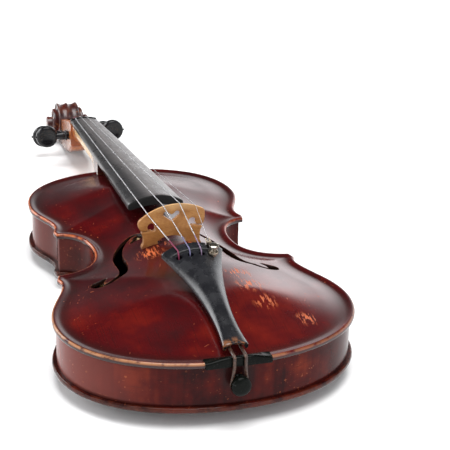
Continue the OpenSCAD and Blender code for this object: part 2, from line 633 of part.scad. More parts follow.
module tuner_nut() color("#c4b79b") home() at_tuner() translate([0, 0, 1.2]) difference() {
  union() {
    cylinder(d = tuner_nut_d, h = 1.2);
    translate([0, 0, 1.2]) cylinder(d1 = tuner_nut_d, d2 = tuner_nut_d - 1.2, h = 0.5);
  }
  translate([0, 0, -1]) cylinder(d = 4.5, h = 4);
}
module tuner_screw() color("#cfc6b2") home() at_tuner() {
  translate([0, 0, -roof_e - 2.4]) cylinder(d = screw_d, h = roof_e + 2.4 + 6.2);
  translate([0, 0, -roof_e - 2.9]) cylinder(d1 = 1.4, d2 = screw_d, h = 0.5);
}
module tuner_knob() color("#cfc6b2") home() at_tuner() translate([0, 0, 6.2]) {
  cylinder(d = 6.6, h = 1.8);
  for (a = [0:30:330]) rotate([0, 0, a]) translate([3.3, 0, 0]) cylinder(d = 0.7, h = 1.8);
}
module tuner_lever() color("#c9bd9f") home() at_tuner() difference() {
  union() {
    translate([-1.8, -2, pin_w - 0.5]) cube([3.6, 14, 1.1]);
    translate([-1.8, pin_v, pin_w]) rotate([0, 90, 0]) cylinder(r = 1.3, h = 3.6);
    translate([-1.8, pin_v + 3.8, pin_w - 0.5]) cube([3.6, 1.2, -pin_w + 3.6]);
    for (s = [-1, 1]) translate([s * 1.2 - 0.6, pin_v + 3.8, 2]) cube([1.2, 4.2, 1.1]);
  }
  translate([-5, pin_v, pin_w]) rotate([0, 90, 0]) cylinder(d = pin_d + 0.1, h = 10);
}
module tuner_pin() color("#8d8676") home() at_tuner() translate([-2.7, pin_v, pin_w])
  rotate([0, 90, 0]) cylinder(d = pin_d, h = 5.4);

top_plate();
back_plate();
upper_rib_bass();
upper_rib_treble();
waist_rib_bass();
waist_rib_treble();
lower_rib_bass();
lower_rib_treble();
upper_block();
lower_block();
corner_blocks();
linings_top();
linings_back();
bass_bar();
sound_post();
neck();
fingerboard();
nut();
saddle();
bridge();
tailpiece();
tailpiece_fret();
tailgut();
end_button();
peg_g();
peg_d_string();
peg_a();
peg_e();
winding_g();
winding_d();
winding_a();
winding_e();
string_g();
string_d();
string_a();
string_e();
tuner_bracket();
tuner_nut();
tuner_screw();
tuner_knob();
tuner_lever();
tuner_pin();
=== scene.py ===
import math

import bmesh
import bpy
import numpy as np
from mathutils import Matrix, Vector
from mathutils.geometry import delaunay_2d_cdt


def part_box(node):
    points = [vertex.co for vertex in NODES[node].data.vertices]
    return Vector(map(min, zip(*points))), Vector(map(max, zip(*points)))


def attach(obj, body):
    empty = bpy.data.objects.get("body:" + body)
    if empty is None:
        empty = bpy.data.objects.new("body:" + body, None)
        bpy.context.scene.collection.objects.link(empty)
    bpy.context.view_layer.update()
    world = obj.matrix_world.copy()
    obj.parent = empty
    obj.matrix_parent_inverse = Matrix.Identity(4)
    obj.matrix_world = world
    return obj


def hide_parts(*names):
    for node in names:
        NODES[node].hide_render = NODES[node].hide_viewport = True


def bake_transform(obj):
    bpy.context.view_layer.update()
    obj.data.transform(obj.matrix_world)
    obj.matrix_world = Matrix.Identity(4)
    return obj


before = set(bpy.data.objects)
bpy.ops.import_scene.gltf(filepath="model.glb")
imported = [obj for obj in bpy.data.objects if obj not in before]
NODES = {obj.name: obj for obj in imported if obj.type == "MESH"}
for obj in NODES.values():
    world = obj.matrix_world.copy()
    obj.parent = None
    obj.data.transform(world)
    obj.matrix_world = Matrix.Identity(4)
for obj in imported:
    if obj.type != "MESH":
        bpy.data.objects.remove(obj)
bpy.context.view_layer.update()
scene = bpy.context.scene
MM = 0.001


# ---------------------------------------------------------------- frame of reference
# Shapes are worked out in millimetres, with y measured from the tail end of the body.
def edge(node, side, axis):
    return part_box(node)[side][axis] / MM


TAIL = edge("back_plate", 0, 1)
rib_z0 = edge("lower_block", 0, 2)
rib_z1 = edge("lower_block", 1, 2)
apex_z = edge("top_plate", 1, 2)
bridge_z = edge("bridge", 1, 2)
nut_y = edge("nut", 0, 1) - TAIL
bridge_y = 168.0
body_l = 356.0
edge_t = 4.0
plate_t = 3.0
overhang = 3.0
rib_t = 1.1
top_z = rib_z1 + edge_t
top_rise = apex_z - top_z
back_rise = rib_z0 - edge_t
lw = edge("top_plate", 1, 0)
ww = 53.0
uw = 85.0
scroll_y = nut_y + 86
button_z = rib_z0 + (rib_z1 - rib_z0) / 2 + 2.5
neck_lift = 0.0762
board_lift = 0.0934
board_l = 273.0
board_y0 = nut_y - board_l
board_w_nut = 24.0
board_w_end = 43.0
cross_r = 42.0
neck_t = 13.0
heel_half = 16.0
neck_square = 0.75
neck_full = 0.8
scroll_r = 20.4
scroll_w = 41.0
spread_bridge = 36.0
spread_nut = 16.5
peg_d = 7.4
peg_head_d = 21.0


def ease(t):
    c = np.clip(t, 0, 1)
    return c * c * (3 - 2 * c)


def neck_top(y):
    return top_z - 0.8 + neck_lift * (nut_y - y)


def board_top(y):
    return top_z + 5 + board_lift * (nut_y - y)


def drop(x):
    return cross_r - np.sqrt(cross_r ** 2 - x ** 2)


def board_half(y):
    return (board_w_nut + (board_w_end - board_w_nut) * (nut_y - y) / board_l) / 2


# ---------------------------------------------------------------- outline of the plates
low_tip = np.array([lw - 15.5, 146])
up_tip = np.array([uw - 11, 226])
ARCS = [
    ([0, 0], [lw - 41, 0], [lw, 33], [lw, 78], 60),
    ([lw, 78], [lw, 110], [lw - 23, 130], low_tip, 36),
    (low_tip, low_tip + [-0.5, 2], low_tip + [-1.3, 5], low_tip + [-2, 7], 5),
    (low_tip + [-2, 7], [ww + 14, 156], [ww, 167], [ww, 192], 26),
    ([ww, 192], [ww, 212], [ww + 8, 225], up_tip, 22),
    (up_tip, up_tip + [1, 2], up_tip + [1.5, 5], up_tip + [1.5, 7], 5),
    (up_tip + [1.5, 7], [uw - 18, 250], [uw, 263], [uw, body_l - 70], 28),
    ([uw, body_l - 70], [uw, body_l - 23], [uw - 40, body_l], [0, body_l], 60),
]


def bezier(points, t):
    a, b, c, d = (np.asarray(p, float) for p in points)
    t = np.asarray(t, float)[..., None]
    return (1 - t) ** 3 * a + 3 * (1 - t) ** 2 * t * b + 3 * (1 - t) * t ** 2 * c + t ** 3 * d


def arc_points(arcs):
    parts = [bezier(arc[:4], np.arange(arc[4]) / arc[4]) for arc in arcs]
    return np.vstack(parts + [np.asarray(arcs[-1][3], float)[None]])


HALF = arc_points(ARCS)
OUTLINE = np.vstack([HALF, (HALF * [-1, 1])[-2:0:-1]])


def from_edge(x, y):
    """Distance in millimetres from points inside the outline to the outline."""
    x, y = np.broadcast_arrays(np.asarray(x, float), np.asarray(y, float))
    points = np.stack([np.abs(x).ravel(), y.ravel()], 1)
    start = HALF[:-1]
    run = HALF[1:] - start
    length = (run ** 2).sum(1)
    result = []
    for part in np.array_split(points, max(1, len(points) // 3000)):
        gap = part[:, None] - start
        t = np.clip((gap * run).sum(2) / length, 0, 1)
        result.append(np.sqrt(((gap - t[..., None] * run) ** 2).sum(2).min(1)))
    return np.concatenate(result).reshape(x.shape)


def swell(d, y):
    reach = 52 + 30 * ease(np.abs(y - 185) / 110)
    return np.sin(np.pi / 2 * np.clip((d - 4) / (reach - 4), 0, 1)) ** 2


def channel(d):
    """Depth of the scooped line that runs round a plate just inside its edge."""
    return 1.1 * ease((d - 1.5) / 5) * (1 - ease((d - 7) / 16))


def top_outer(x, y):
    d = from_edge(x, y)
    return top_z + top_rise * swell(d, y) - channel(d)


def top_inner(x, y):
    d = from_edge(x, y)
    return rib_z1 + (edge_t - plate_t + top_rise * swell(d, y)) * ease((d - 8) / 14)


def back_outer(x, y):
    d = from_edge(x, y)
    return back_rise * (1 - swell(d, y)) + channel(d)


def back_inner(x, y):
    d = from_edge(x, y)
    return rib_z0 - (edge_t - plate_t + back_rise * swell(d, y)) * ease((d - 8) / 14)


def normals_2d(loop):
    """Inward normals of a closed loop that runs counter-clockwise, with mitred corners."""
    ahead = np.roll(loop, -1, 0) - loop
    ahead /= np.linalg.norm(ahead, axis=1)[:, None]
    behind = np.roll(ahead, 1, 0)
    side = np.stack([-(ahead + behind)[:, 1], (ahead + behind)[:, 0]], 1)
    side /= np.linalg.norm(side, axis=1)[:, None]
    square = (side * np.stack([-ahead[:, 1], ahead[:, 0]], 1)).sum(1)
    return side / np.clip(square, 0.65, 1)[:, None]


INWARD = normals_2d(OUTLINE)


# ---------------------------------------------------------------- mesh helpers
def to_frame(points):
    moved = np.array(points, float).reshape(-1, 3)
    moved[:, 1] += TAIL
    return moved * MM


def new_object(name, data):
    obj = bpy.data.objects.new(name, data)
    scene.collection.objects.link(obj)
    return obj


def raw_object(name, verts, faces):
    mesh = bpy.data.meshes.new(name)
    mesh.from_pydata(to_frame(verts).tolist(), [], [tuple(int(i) for i in f) for f in faces])
    tidy_mesh(mesh)
    return new_object(name, mesh)


def tidy_mesh(mesh, weld=1e-7, close=False):
    bm = bmesh.new()
    bm.from_mesh(mesh)
    bmesh.ops.remove_doubles(bm, verts=bm.verts, dist=weld)
    bmesh.ops.dissolve_degenerate(bm, edges=bm.edges, dist=weld)
    if close:
        bmesh.ops.holes_fill(bm, edges=bm.edges, sides=0)
        bmesh.ops.triangulate(bm, faces=[f for f in bm.faces if len(f.verts) > 4])
    bmesh.ops.recalc_face_normals(bm, faces=bm.faces)
    bm.to_mesh(mesh)
    bm.free()


def evaluated_mesh(obj):
    graph = bpy.context.evaluated_depsgraph_get()
    return bpy.data.meshes.new_from_object(obj.evaluated_get(graph))


def apply_modifiers(obj):
    mesh = evaluated_mesh(obj)
    obj.modifiers.clear()
    obj.data = mesh
    return obj


def combine(obj, others, operation="DIFFERENCE"):
    """Cuts the other meshes out of obj, or joins them to it, and removes them."""
    for other in others:
        modifier = obj.modifiers.new("cut", "BOOLEAN")
        modifier.solver = "MANIFOLD"
        modifier.operation = operation
        modifier.object = other
    apply_modifiers(obj)
    for other in others:
        bpy.data.objects.remove(other)
    tidy_mesh(obj.data)
    return obj


def joined(name, objects):
    """One object that holds several closed meshes."""
    mesh = bpy.data.meshes.new(name)
    bm = bmesh.new()
    for obj in objects:
        bm.from_mesh(obj.data)
    bm.to_mesh(mesh)
    bm.free()
    for obj in objects:
        bpy.data.objects.remove(obj)
    return new_object(name, mesh)




def bevelled(obj, width, segments=2, angle=35):
    modifier = obj.modifiers.new("bevel", "BEVEL")
    modifier.width = width * MM
    modifier.segments = segments
    modifier.limit_method = "ANGLE"
    modifier.angle_limit = math.radians(angle)
    modifier.use_clamp_overlap = True
    return apply_modifiers(obj)


def shaded(obj, angle=38):
    mesh = obj.data
    mesh.polygons.foreach_set("use_smooth", [True] * len(mesh.polygons))
    mesh.set_sharp_from_angle(angle=math.radians(angle))
    return obj


def finish_piece(obj, material, node, body="violin", angle=38):
    shaded(obj, angle)
    obj.data.materials.clear()
    obj.data.materials.append(material)
    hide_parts(node)
    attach(obj, body)
    return obj


def grid_faces(rows, columns, wrap_rows=False, wrap_columns=False, first=0):
    faces = []
    for i in range(rows if wrap_rows else rows - 1):
        for j in range(columns if wrap_columns else columns - 1):
            a = i * columns + j
            b = i * columns + (j + 1) % columns
            c = ((i + 1) % rows) * columns + (j + 1) % columns
            d = ((i + 1) % rows) * columns + j
            faces.append([first + a, first + b, first + c, first + d])
    return faces


def loft(name, sections):
    """Closed solid through sections with equal numbers of points, capped at both ends."""
    count = len(sections[0])
    faces = grid_faces(len(sections), count, wrap_columns=True)
    faces.append(list(range(count))[::-1])
    last = (len(sections) - 1) * count
    faces.append([last + k for k in range(count)])
    return raw_object(name, np.vstack(sections), faces)


def lathe(name, profile, origin, axis, sides=48):
    """Solid turned from (radius, height) points about an axis through origin."""
    axis = Vector(axis).normalized()
    across = axis.orthogonal().normalized()
    up = axis.cross(across)
    profile = np.asarray(profile, float)
    angles = np.arange(sides) * 2 * math.pi / sides
    verts = []
    for radius, height in profile:
        centre = np.array(origin) + np.array(axis) * height
        ring = np.outer(np.cos(angles), across) + np.outer(np.sin(angles), up)
        verts.append(centre + max(radius, 1e-5) * ring)
    return loft(name, verts)


def smooth_path(points, step):
    """Catmull-Rom line through the points, with a point about every step millimetres."""
    p = np.asarray(points, float)
    p = np.vstack([2 * p[0] - p[1], p, 2 * p[-1] - p[-2]])
    line = []
    for a, b, c, d in zip(p[:-3], p[1:-2], p[2:-1], p[3:]):
        count = max(2, int(math.ceil(np.linalg.norm(c - b) / step)))
        t = (np.arange(count) / count)[:, None]
        line.append(0.5 * (2 * b + (c - a) * t + (2 * a - 5 * b + 4 * c - d) * t ** 2
                           + (3 * b - a - 3 * c + d) * t ** 3))
    return np.vstack(line + [p[-2][None]])


def tube(name, path, radius, sides=10):
    """Closed tube along a path; radius may be one number or one for each point."""
    path = np.asarray(path, float)
    radii = np.broadcast_to(radius, len(path))
    ahead = np.gradient(path, axis=0)
    ahead /= np.linalg.norm(ahead, axis=1)[:, None]
    side = np.cross(ahead[0], [1.0, 0, 0] if abs(ahead[0][0]) < 0.8 else [0, 1.0, 0])
    angles = np.arange(sides) * 2 * math.pi / sides
    sections = []
    for point, direction, r in zip(path, ahead, radii):
        side = side - direction * side.dot(direction)
        side /= np.linalg.norm(side)
        other = np.cross(direction, side)
        sections.append(point + r * (np.outer(np.cos(angles), side) + np.outer(np.sin(angles), other)))
    return loft(name, sections)


def prism(name, polygon, low, high, place):
    """Solid between two copies of a polygon; place turns (u, v, height) into x, y, z."""
    n = len(polygon)
    verts = [place(u, v, w) for w in (low, high) for u, v in polygon]
    faces = [list(range(n))[::-1], list(range(n, 2 * n))]
    faces += [[k, (k + 1) % n, n + (k + 1) % n, n + k] for k in range(n)]
    return raw_object(name, verts, faces)


def mirrored(points):
    """The same points on the other side of x = 0, in the opposite order."""
    return [(-x, *rest) for x, *rest in points[::-1]]


def crosswise(points, y):
    """A section made of (x, z) points, at y."""
    return np.array([(x, y, z) for x, z in points])


def lengthways(points, x):
    """A section made of (y, z) points, at x."""
    return np.array([(x, y, z) for y, z in points])


def rectangle(x0, y0, x1, y1):
    return [(x0, y0), (x1, y0), (x1, y1), (x0, y1)]


def box(name, low, high):
    return prism(name, rectangle(*low[:2], *high[:2]), low[2], high[2], lambda u, v, w: (u, v, w))


def rod(name, start, end, radius, sides=32):
    start = np.asarray(start, float)
    axis = np.asarray(end, float) - start
    length = np.linalg.norm(axis)
    return lathe(name, [(0, 0), (radius, 0), (radius, length), (0, length)], start, axis, sides)


def contour(field, x_range, y_range, step):
    """Closed lines where field(x, y) is 0, each as an array of points."""
    xs = np.arange(x_range[0], x_range[1] + step, step)
    ys = np.arange(y_range[0], y_range[1] + step, step)
    value = field(*np.meshgrid(xs, ys, indexing="ij"))
    value[np.abs(value) < 1e-9] = 1e-9
    inside = value < 0
    joins = {}

    def crossing(i, j, k, l):
        t = value[i, j] / (value[i, j] - value[k, l])
        return (xs[i] + t * (xs[k] - xs[i]), ys[j] + t * (ys[l] - ys[j]))

    places = {}
    mixed = inside[:-1, :-1].astype(int) + inside[1:, :-1] + inside[1:, 1:] + inside[:-1, 1:]
    for i, j in zip(*np.where((mixed > 0) & (mixed < 4))):
        corners = [(i, j), (i + 1, j), (i + 1, j + 1), (i, j + 1)]
        enter = leave = None
        for k in range(4):
            a, b = corners[k], corners[(k + 1) % 4]
            if inside[a] != inside[b]:
                key = (min(a, b), max(a, b))
                places[key] = crossing(*key[0], *key[1])
                if inside[a]:
                    leave = key
                else:
                    enter = key
        joins[leave] = enter
    loops = []
    while joins:
        key = next(iter(joins))
        loop = []
        while key in joins:
            loop.append(places[key])
            key = joins.pop(key)
        loops.append(np.array(loop))
    return loops


def run_along(path):
    """Distance along a line from its start to each of its points."""
    return np.concatenate([[0], np.cumsum(np.linalg.norm(np.diff(path, axis=0), axis=1))])


def even_loop(loop, step):
    """The same closed line with evenly spaced points."""
    closed = np.vstack([loop, loop[:1]])
    run = run_along(closed)
    at = np.linspace(0, run[-1], max(8, int(run[-1] / step)), endpoint=False)
    return np.stack([np.interp(at, run, closed[:, k]) for k in (0, 1)], 1)


# ---------------------------------------------------------------- plates
RIM_PROFILE = [(0.9, 0), (0.25, 0.45), (0, 1.25), (0, 2.4), (0.25, 3.2), (0.8, 3.75)]
LAND = 1.5
RINGS = [2.3, 3.2, 4.3, 5.6, 7, 8.6, 10.4, 12.4, 14.6]
GRID_STEP = 2.5


def wobble(points, size, seed):
    """Gentle, repeatable unevenness along the edge, as from years of knocks."""
    x, y = points[:, 0], points[:, 1]
    wave = np.sin(x / 7.3 + seed) * np.sin(y / 9.1 + 2 * seed)
    wave += 0.6 * np.sin(x / 3.1 - y / 4.7 + 3 * seed) + 0.3 * np.sin(x / 1.3 + y / 1.9)
    return size * wave


def plate_mesh(name, outer, inner, side, seed):
    """A carved plate. side is 1 for the top, whose outer face looks up, and -1 for the back."""
    def offset(d):
        return OUTLINE + INWARD * d

    land = offset(LAND)
    n = len(land)
    rings = [offset(d) for d in RINGS]
    rings = [ring[from_edge(*ring.T) > d - 0.12] for ring, d in zip(rings, RINGS)]
    steps = np.meshgrid(np.arange(-lw, lw, GRID_STEP), np.arange(0, body_l, GRID_STEP))
    field = np.stack(steps, -1).reshape(-1, 2)
    field[:, 0] += GRID_STEP / 2 * (np.round(field[:, 1] / GRID_STEP) % 2)
    field = field[np.array([inside_outline(x, y) for x, y in field])]
    field = field[from_edge(*field.T) > RINGS[-1] + 1]
    given = np.vstack([land, *rings, field])
    loop = [(k, (k + 1) % n) for k in range(n)]
    verts, _, faces, sources, *_ = delaunay_2d_cdt([Vector(p) for p in given], loop, [], 1, 1e-5)
    flat = np.array([given[s[0]] if s else tuple(v) for v, s in zip(verts, sources)])
    order = {number: k for k, source in enumerate(sources) for number in source if number < n}
    count = len(flat)
    level = rib_z1 if side > 0 else rib_z0
    inner_z = np.where(from_edge(*flat.T) < LAND + 0.05, level, inner(*flat.T))
    points = [np.column_stack([flat, outer(*flat.T)]), np.column_stack([flat, inner_z])]
    mesh_faces = [list(f) for f in faces] + [[i + count for i in f][::-1] for f in faces]
    # The band that turns over the edge, from the inner face round to the outer one
    wear = np.maximum(wobble(OUTLINE, 0.14, seed), 0)[:, None]
    for d, lift in RIM_PROFILE:
        points.append(np.column_stack([offset(d + wear * (lift > 1)), np.full(n, level + side * lift)]))
    first = 2 * count
    last = first + (len(RIM_PROFILE) - 1) * n
    mesh_faces += grid_faces(len(RIM_PROFILE), n, wrap_columns=True, first=first)
    for k, j in loop:
        mesh_faces.append([count + order[k], count + order[j], first + j, first + k])
        mesh_faces.append([last + k, last + j, order[j], order[k]])
    return raw_object(name, np.vstack(points), mesh_faces)




def inside_outline(x, y):
    """Whether a point lies inside the plates' outline."""
    x = abs(x)
    ahead = HALF[1:]
    here = HALF[:-1]
    crosses = (here[:, 1] > y) != (ahead[:, 1] > y)
    rows = np.where(crosses)[0]
    reach = [here[k, 0] + (y - here[k, 1]) / (ahead[k, 1] - here[k, 1]) * (ahead[k, 0] - here[k, 0])
             for k in rows]
    return sum(r > x for r in reach) % 2 == 1


# One f-hole on the treble side: centre line with its half-width, then the eyes and wings
F_STEM = [
    (17.4, 190.6, 1.2), (19.5, 193.6, 1.2), (24, 194.2, 1.4), (29, 190.8, 1.8), (33.8, 185, 2.3),
    (37.6, 177, 2.9), (40, 167.5, 3.4), (40.6, 157, 3.7), (41.2, 147, 3.5),
    (42.4, 138.5, 3), (45, 131.6, 2.3), (49, 126.4, 1.7), (54, 122.8, 1.3),
    (59.5, 120.6, 1), (64, 120.3, 0.8),
]
F_EYES = [(20.2, 188.4, 3.4), (64.3, 124.2, 4.4)]
F_WINGS = [((20.2, 187.8, 2.8), (26.2, 184.6, 0.9)), ((64.3, 125, 3.6), (57.2, 129.8, 0.9))]
F_NICKS = [(37.2, 157.5), (44.4, 156)]
NICK = 1.5


def capsule(x, y, a, b):
    """Distance to a line from a to b whose half-width runs from one end's to the other's."""
    run = (b[0] - a[0], b[1] - a[1])
    t = ((x - a[0]) * run[0] + (y - a[1]) * run[1]) / (run[0] ** 2 + run[1] ** 2)
    t = np.clip(t, 0, 1)
    return np.hypot(x - a[0] - t * run[0], y - a[1] - t * run[1]) - a[2] - t * (b[2] - a[2])


def f_field(x, y):
    line = smooth_path(F_STEM, 2)
    result = np.full(x.shape, 1e3)
    for a, b in zip(line[:-1], line[1:]):
        result = np.minimum(result, capsule(x, y, a, b))
    for wing in F_WINGS:
        result = np.minimum(result, capsule(x, y, *wing))
    for ex, ey, r in F_EYES:
        result = np.minimum(result, np.hypot(x - ex, y - ey) - r)
    for nx, ny in F_NICKS:
        result = np.minimum(result, (np.abs(x - nx) + 1.6 * np.abs(y - ny) - NICK) * 0.7)
    return result


F_LOOP = even_loop(max(contour(f_field, (12, 72), (114, 200), 0.5), key=len), 0.7)


def f_cutter(side, flare=0.35):
    """A plug the shape of an f-hole, slightly wider where it meets the surface."""
    loop = F_LOOP * [side, 1]
    if np.cross(loop - loop.mean(0), np.roll(loop, -1, 0) - loop.mean(0)).sum() < 0:
        loop = loop[::-1]
    out = -normals_2d(loop)
    surface = top_outer(*loop.T)
    levels = [(0, np.full(len(loop), rib_z1 - 2.0)), (0, surface - 0.45), (flare, surface + 0.02),
              (flare, np.full(len(loop), apex_z + 3))]
    return loft("f_cutter", [np.column_stack([loop + out * d, z]) for d, z in levels])


saddle_w = 44.0
saddle_d = 7.5
neck_slot = 16.6


def top_plate(material):
    obj = plate_mesh("belly", top_outer, top_inner, 1, 0.7)
    saddle_gap = box("gap", (-saddle_w / 2 - 0.1, -5, rib_z1 - 5), (saddle_w / 2 + 0.1, saddle_d + 0.1, 80))
    neck_gap = box("gap", (-neck_slot, body_l - 7, rib_z1 - 5), (neck_slot, body_l + 20, 90))
    combine(obj, [f_cutter(1), f_cutter(-1), saddle_gap, neck_gap])
    return finish_piece(obj, material, "top_plate", angle=42)


def back_plate(material):
    obj = plate_mesh("back", back_outer, back_inner, -1, 2.1)
    button = lathe("button", [(0, 0), (10.4, 0), (11, 0.6), (11, edge_t - 0.6), (10.6, edge_t), (0, edge_t)],
                   (0, body_l - 2, back_rise), (0, 0, 1), 64)
    combine(obj, [button], "UNION")
    return finish_piece(obj, material, "back_plate", angle=42)


# ---------------------------------------------------------------- ribs
button_pin_r = 3.8
CORNERS = {"lower": [(103.7, 158), (45, 126.7)], "upper": [(92, 218.3), (45, 250)]}


def rib_part(x, y):
    """Which rib a point of the rib ring belongs to."""
    def beyond(pair):
        (x0, y0), (x1, y1) = CORNERS[pair]
        return (x1 - x0) * (y - y0) - (y1 - y0) * (x - x0)
    if beyond("lower") > 0 and y < 190:
        return "lower"
    if beyond("upper") < 0 and y > 190:
        return "upper"
    return "waist"


def rib_end(side, y):
    """The upper rib's last part, cut to follow the neck's narrowing heel."""
    top = neck_top(y)
    levels = np.linspace(rib_z0, rib_z1, 25)
    sine = np.clip((top - levels) / (top - rib_z0), 0, 1) ** (1 / neck_full)
    edge_x = heel_half * (1 - sine ** 2) ** (neck_square / 2) + 0.15
    polygon = [(neck_slot + 0.4, rib_z1), (neck_slot + 0.4, rib_z0)] + list(zip(edge_x, levels))
    return prism("rib_end", polygon, y - rib_t, y, lambda x, z, depth: (side * x, depth, z))


def ribs(material):
    outer, inner = (HALF + INWARD[:len(HALF)] * d for d in (overhang, overhang + rib_t))
    good = from_edge(*outer.T) > overhang - 0.03
    outer, inner = outer[good], inner[good]
    kind = np.array([rib_part(x, y) for x, y in outer])
    heights = np.linspace(rib_z0, rib_z1, 8)
    for name in ("lower", "waist", "upper"):
        keep = kind == name
        if name == "upper":
            keep &= outer[:, 0] > neck_slot
        a, b = outer[keep], inner[keep]
        if name == "lower":
            a[0, 0] = b[0, 0] = 0.04
        for side, label in ((-1, "bass"), (1, "treble")):
            sections = [np.array([(side * x0, y0, z) for z in heights]
                                 + [(side * x1, y1, z) for z in heights[::-1]])
                        for (x0, y0), (x1, y1) in zip(a, b)]
            node = "%s_rib_%s" % (name, label)
            obj = loft(node + "_strip", sections)
            if name == "lower":
                combine(obj, [rod("bore", (0, -5, button_z), (0, 20, button_z), button_pin_r)])
            if name == "upper":
                combine(obj, [rib_end(side, a[np.argmin(a[:, 0])][1])], "UNION")
            finish_piece(obj, material, node)


# ---------------------------------------------------------------- neck, pegbox and scroll
PEGS = {
    "g": (-1, nut_y + 14, 31.0),
    "d": (-1, nut_y + 45, 21.0),
    "a": (1, nut_y + 57, 18.0),
    "e": (1, nut_y + 23, 30.0),
}


def cheek(y):
    return 13 - 3.8 * (y - nut_y) / 74


def flute(u, depth):
    """Two shallow hollows either side of a middle ridge; u runs from -1 to 1."""
    return depth * np.sin(np.pi * np.clip(np.abs(u) / 0.88, 0, 1)) ** 0.8


def neck_shaft():
    def depth(y):
        heel = neck_top(y) - rib_z0
        run = neck_t + 2 * (nut_y - y) / (nut_y - bridge_y)
        if y < body_l + 2:
            return heel
        if y < body_l + 32:
            return run + (heel - run) * (1 - ease((y - body_l - 2) / 30))
        return run + 8 * ease((y - nut_y + 22) / 26)

    def half(y):
        return heel_half - 4 * max(0, y - body_l) / (nut_y - body_l)

    angles = np.radians(np.linspace(0, 180, 37))
    spread = np.sign(np.cos(angles)) * np.abs(np.cos(angles)) ** neck_square
    stations = np.concatenate([np.arange(body_l - 6, body_l + 36, 1.5), np.arange(body_l + 36, nut_y + 5, 3)])
    round_under = np.sin(angles) ** neck_full
    return loft("shaft", [crosswise(zip(half(y) * spread, neck_top(y) - depth(y) * round_under), y)
                          for y in stations])


def pegbox():
    top_line = bezier([(nut_y + 5.5, neck_top(nut_y) - 0.4), (nut_y + 30, 42), (nut_y + 48, 34),
                       (nut_y + 71, 29)], np.linspace(0, 1, 40))
    top_line = np.vstack([[(nut_y - 2, neck_top(nut_y + 5.5))], top_line,
                          [(scroll_y - 6, 20), (scroll_y, 6)]])
    low_line = bezier([(nut_y - 2, neck_top(nut_y) - 21), (nut_y + 14, 8), (nut_y + 56, 2.5),
                       (scroll_y, 0.1)], np.linspace(0, 1, 60))
    floor_line = bezier([(nut_y + 7, 40), (nut_y + 7, 10), (nut_y + 39, 11), (nut_y + 68, 12.5)],
                        np.linspace(0, 1, 40))
    sections = []
    for y in np.linspace(nut_y - 2, scroll_y, 60):
        top = np.interp(y, *top_line.T)
        low = np.interp(y, *low_line.T)
        w = cheek(y)
        r = min(2.6, (top - low) * 0.3)
        fade = float(ease((y - nut_y - 8) / 20))
        bottom = [(k * (w - r), low + float(flute(k, 1.1 * fade))) for k in np.linspace(-1, 1, 25)]
        right = [(w - r + r * math.sin(a), low + r - r * math.cos(a)) for a in np.radians([22, 45, 68, 90])]
        right += [(w, low + r + (top - 0.7 - low - r) * k) for k in (0.3, 0.6, 1)]
        right += [(w - 0.2, top - 0.2), (w - 0.7, top)]
        sections.append(crosswise(bottom + right + mirrored(right), y))
    wells = []
    for y in np.linspace(nut_y + 7.0, nut_y + 68, 40):
        low = np.interp(y, *floor_line.T) if y > nut_y + 7.01 else floor_line[0, 1]
        w = cheek(y) - 4.7
        right = [(w - 1, low), (w, low + 1), (w, 60)]
        wells.append(crosswise(mirrored(right) + right, y))
    return combine(loft("pegbox", sections), [loft("well", wells)])


TURN = 96
EYE_STEPS = 240


def scroll():
    """A strip that winds inwards while it grows wider, once on each side, with a round eye."""
    c = 0.7

    def rad(i):
        return scroll_r - (scroll_r - 6) * min(i / EYE_STEPS, 1) ** 1.5

    def half(i):
        return 9 + (scroll_w / 2 - 9) * min(max(i, 0) / EYE_STEPS, 1) ** 1.5

    def root(i):
        return half(i - TURN) / half(i) if i >= TURN else 9 / half(TURN)

    def face(i, u):
        """A point on the strip's outer face, as its distance from the scroll's axis and its x."""
        return (rad(i) - float(flute(u, 1.5)) * (i < EYE_STEPS), u * half(i))

    def shoulder(i):
        w, u0 = half(i), root(i)
        return [face(i, u0 + (1 - c / w - u0) * t) for t in (0.2, 0.45, 0.75)]

    def side_points(i):
        points = []
        for level in range(4):
            k = i + level * TURN
            if level and k - TURN >= EYE_STEPS:
                points += [points[-1]] * 11
                continue
            r, w = rad(k), half(k)
            points += shoulder(k) if level else []
            points += [(r, w - c), (r - 0.25 * c, w - 0.25 * c), (r - c, w)]
            gap = r - c - rad(k + TURN)
            if k >= EYE_STEPS or gap <= 0:
                points += [points[-1]] * 5
                continue
            scoop = min(gap * 0.35, 2.2)
            points += [(r - c - gap * t, w - scoop * math.sin(math.pi * t)) for t in (0.15, 0.4, 0.65, 0.9)]
            points.append((face(k + TURN, root(k + TURN))[0], w))
        return points + [(0.0, scroll_w / 2 + 0.3)]

    sections = []
    for i in range(TURN + 1):
        a = 2 * math.pi * i / TURN - math.pi / 2
        right = shoulder(i) + side_points(i)
        middle = [face(i, t * root(i)) for t in np.linspace(-1, 1, 13)]
        line = [(r, -x) for r, x in right[::-1]] + middle + right
        sections.append(np.array([(x, scroll_y + r * math.cos(a), scroll_r + r * math.sin(a))
                                  for r, x in line]))
    obj = raw_object("scroll", np.vstack(sections), grid_faces(TURN + 1, len(sections[0])))
    tidy_mesh(obj.data, 2e-6, close=True)
    return obj


def neck(material):
    obj = neck_shaft()
    combine(obj, [pegbox(), scroll()], "UNION")
    bores = [rod("bore", (-30, y, z), (30, y, z), peg_d / 2 + 0.05) for _, y, z in PEGS.values()]
    combine(obj, bores)
    obj.name = "neck_and_scroll"
    return finish_piece(obj, material, "neck", angle=40)


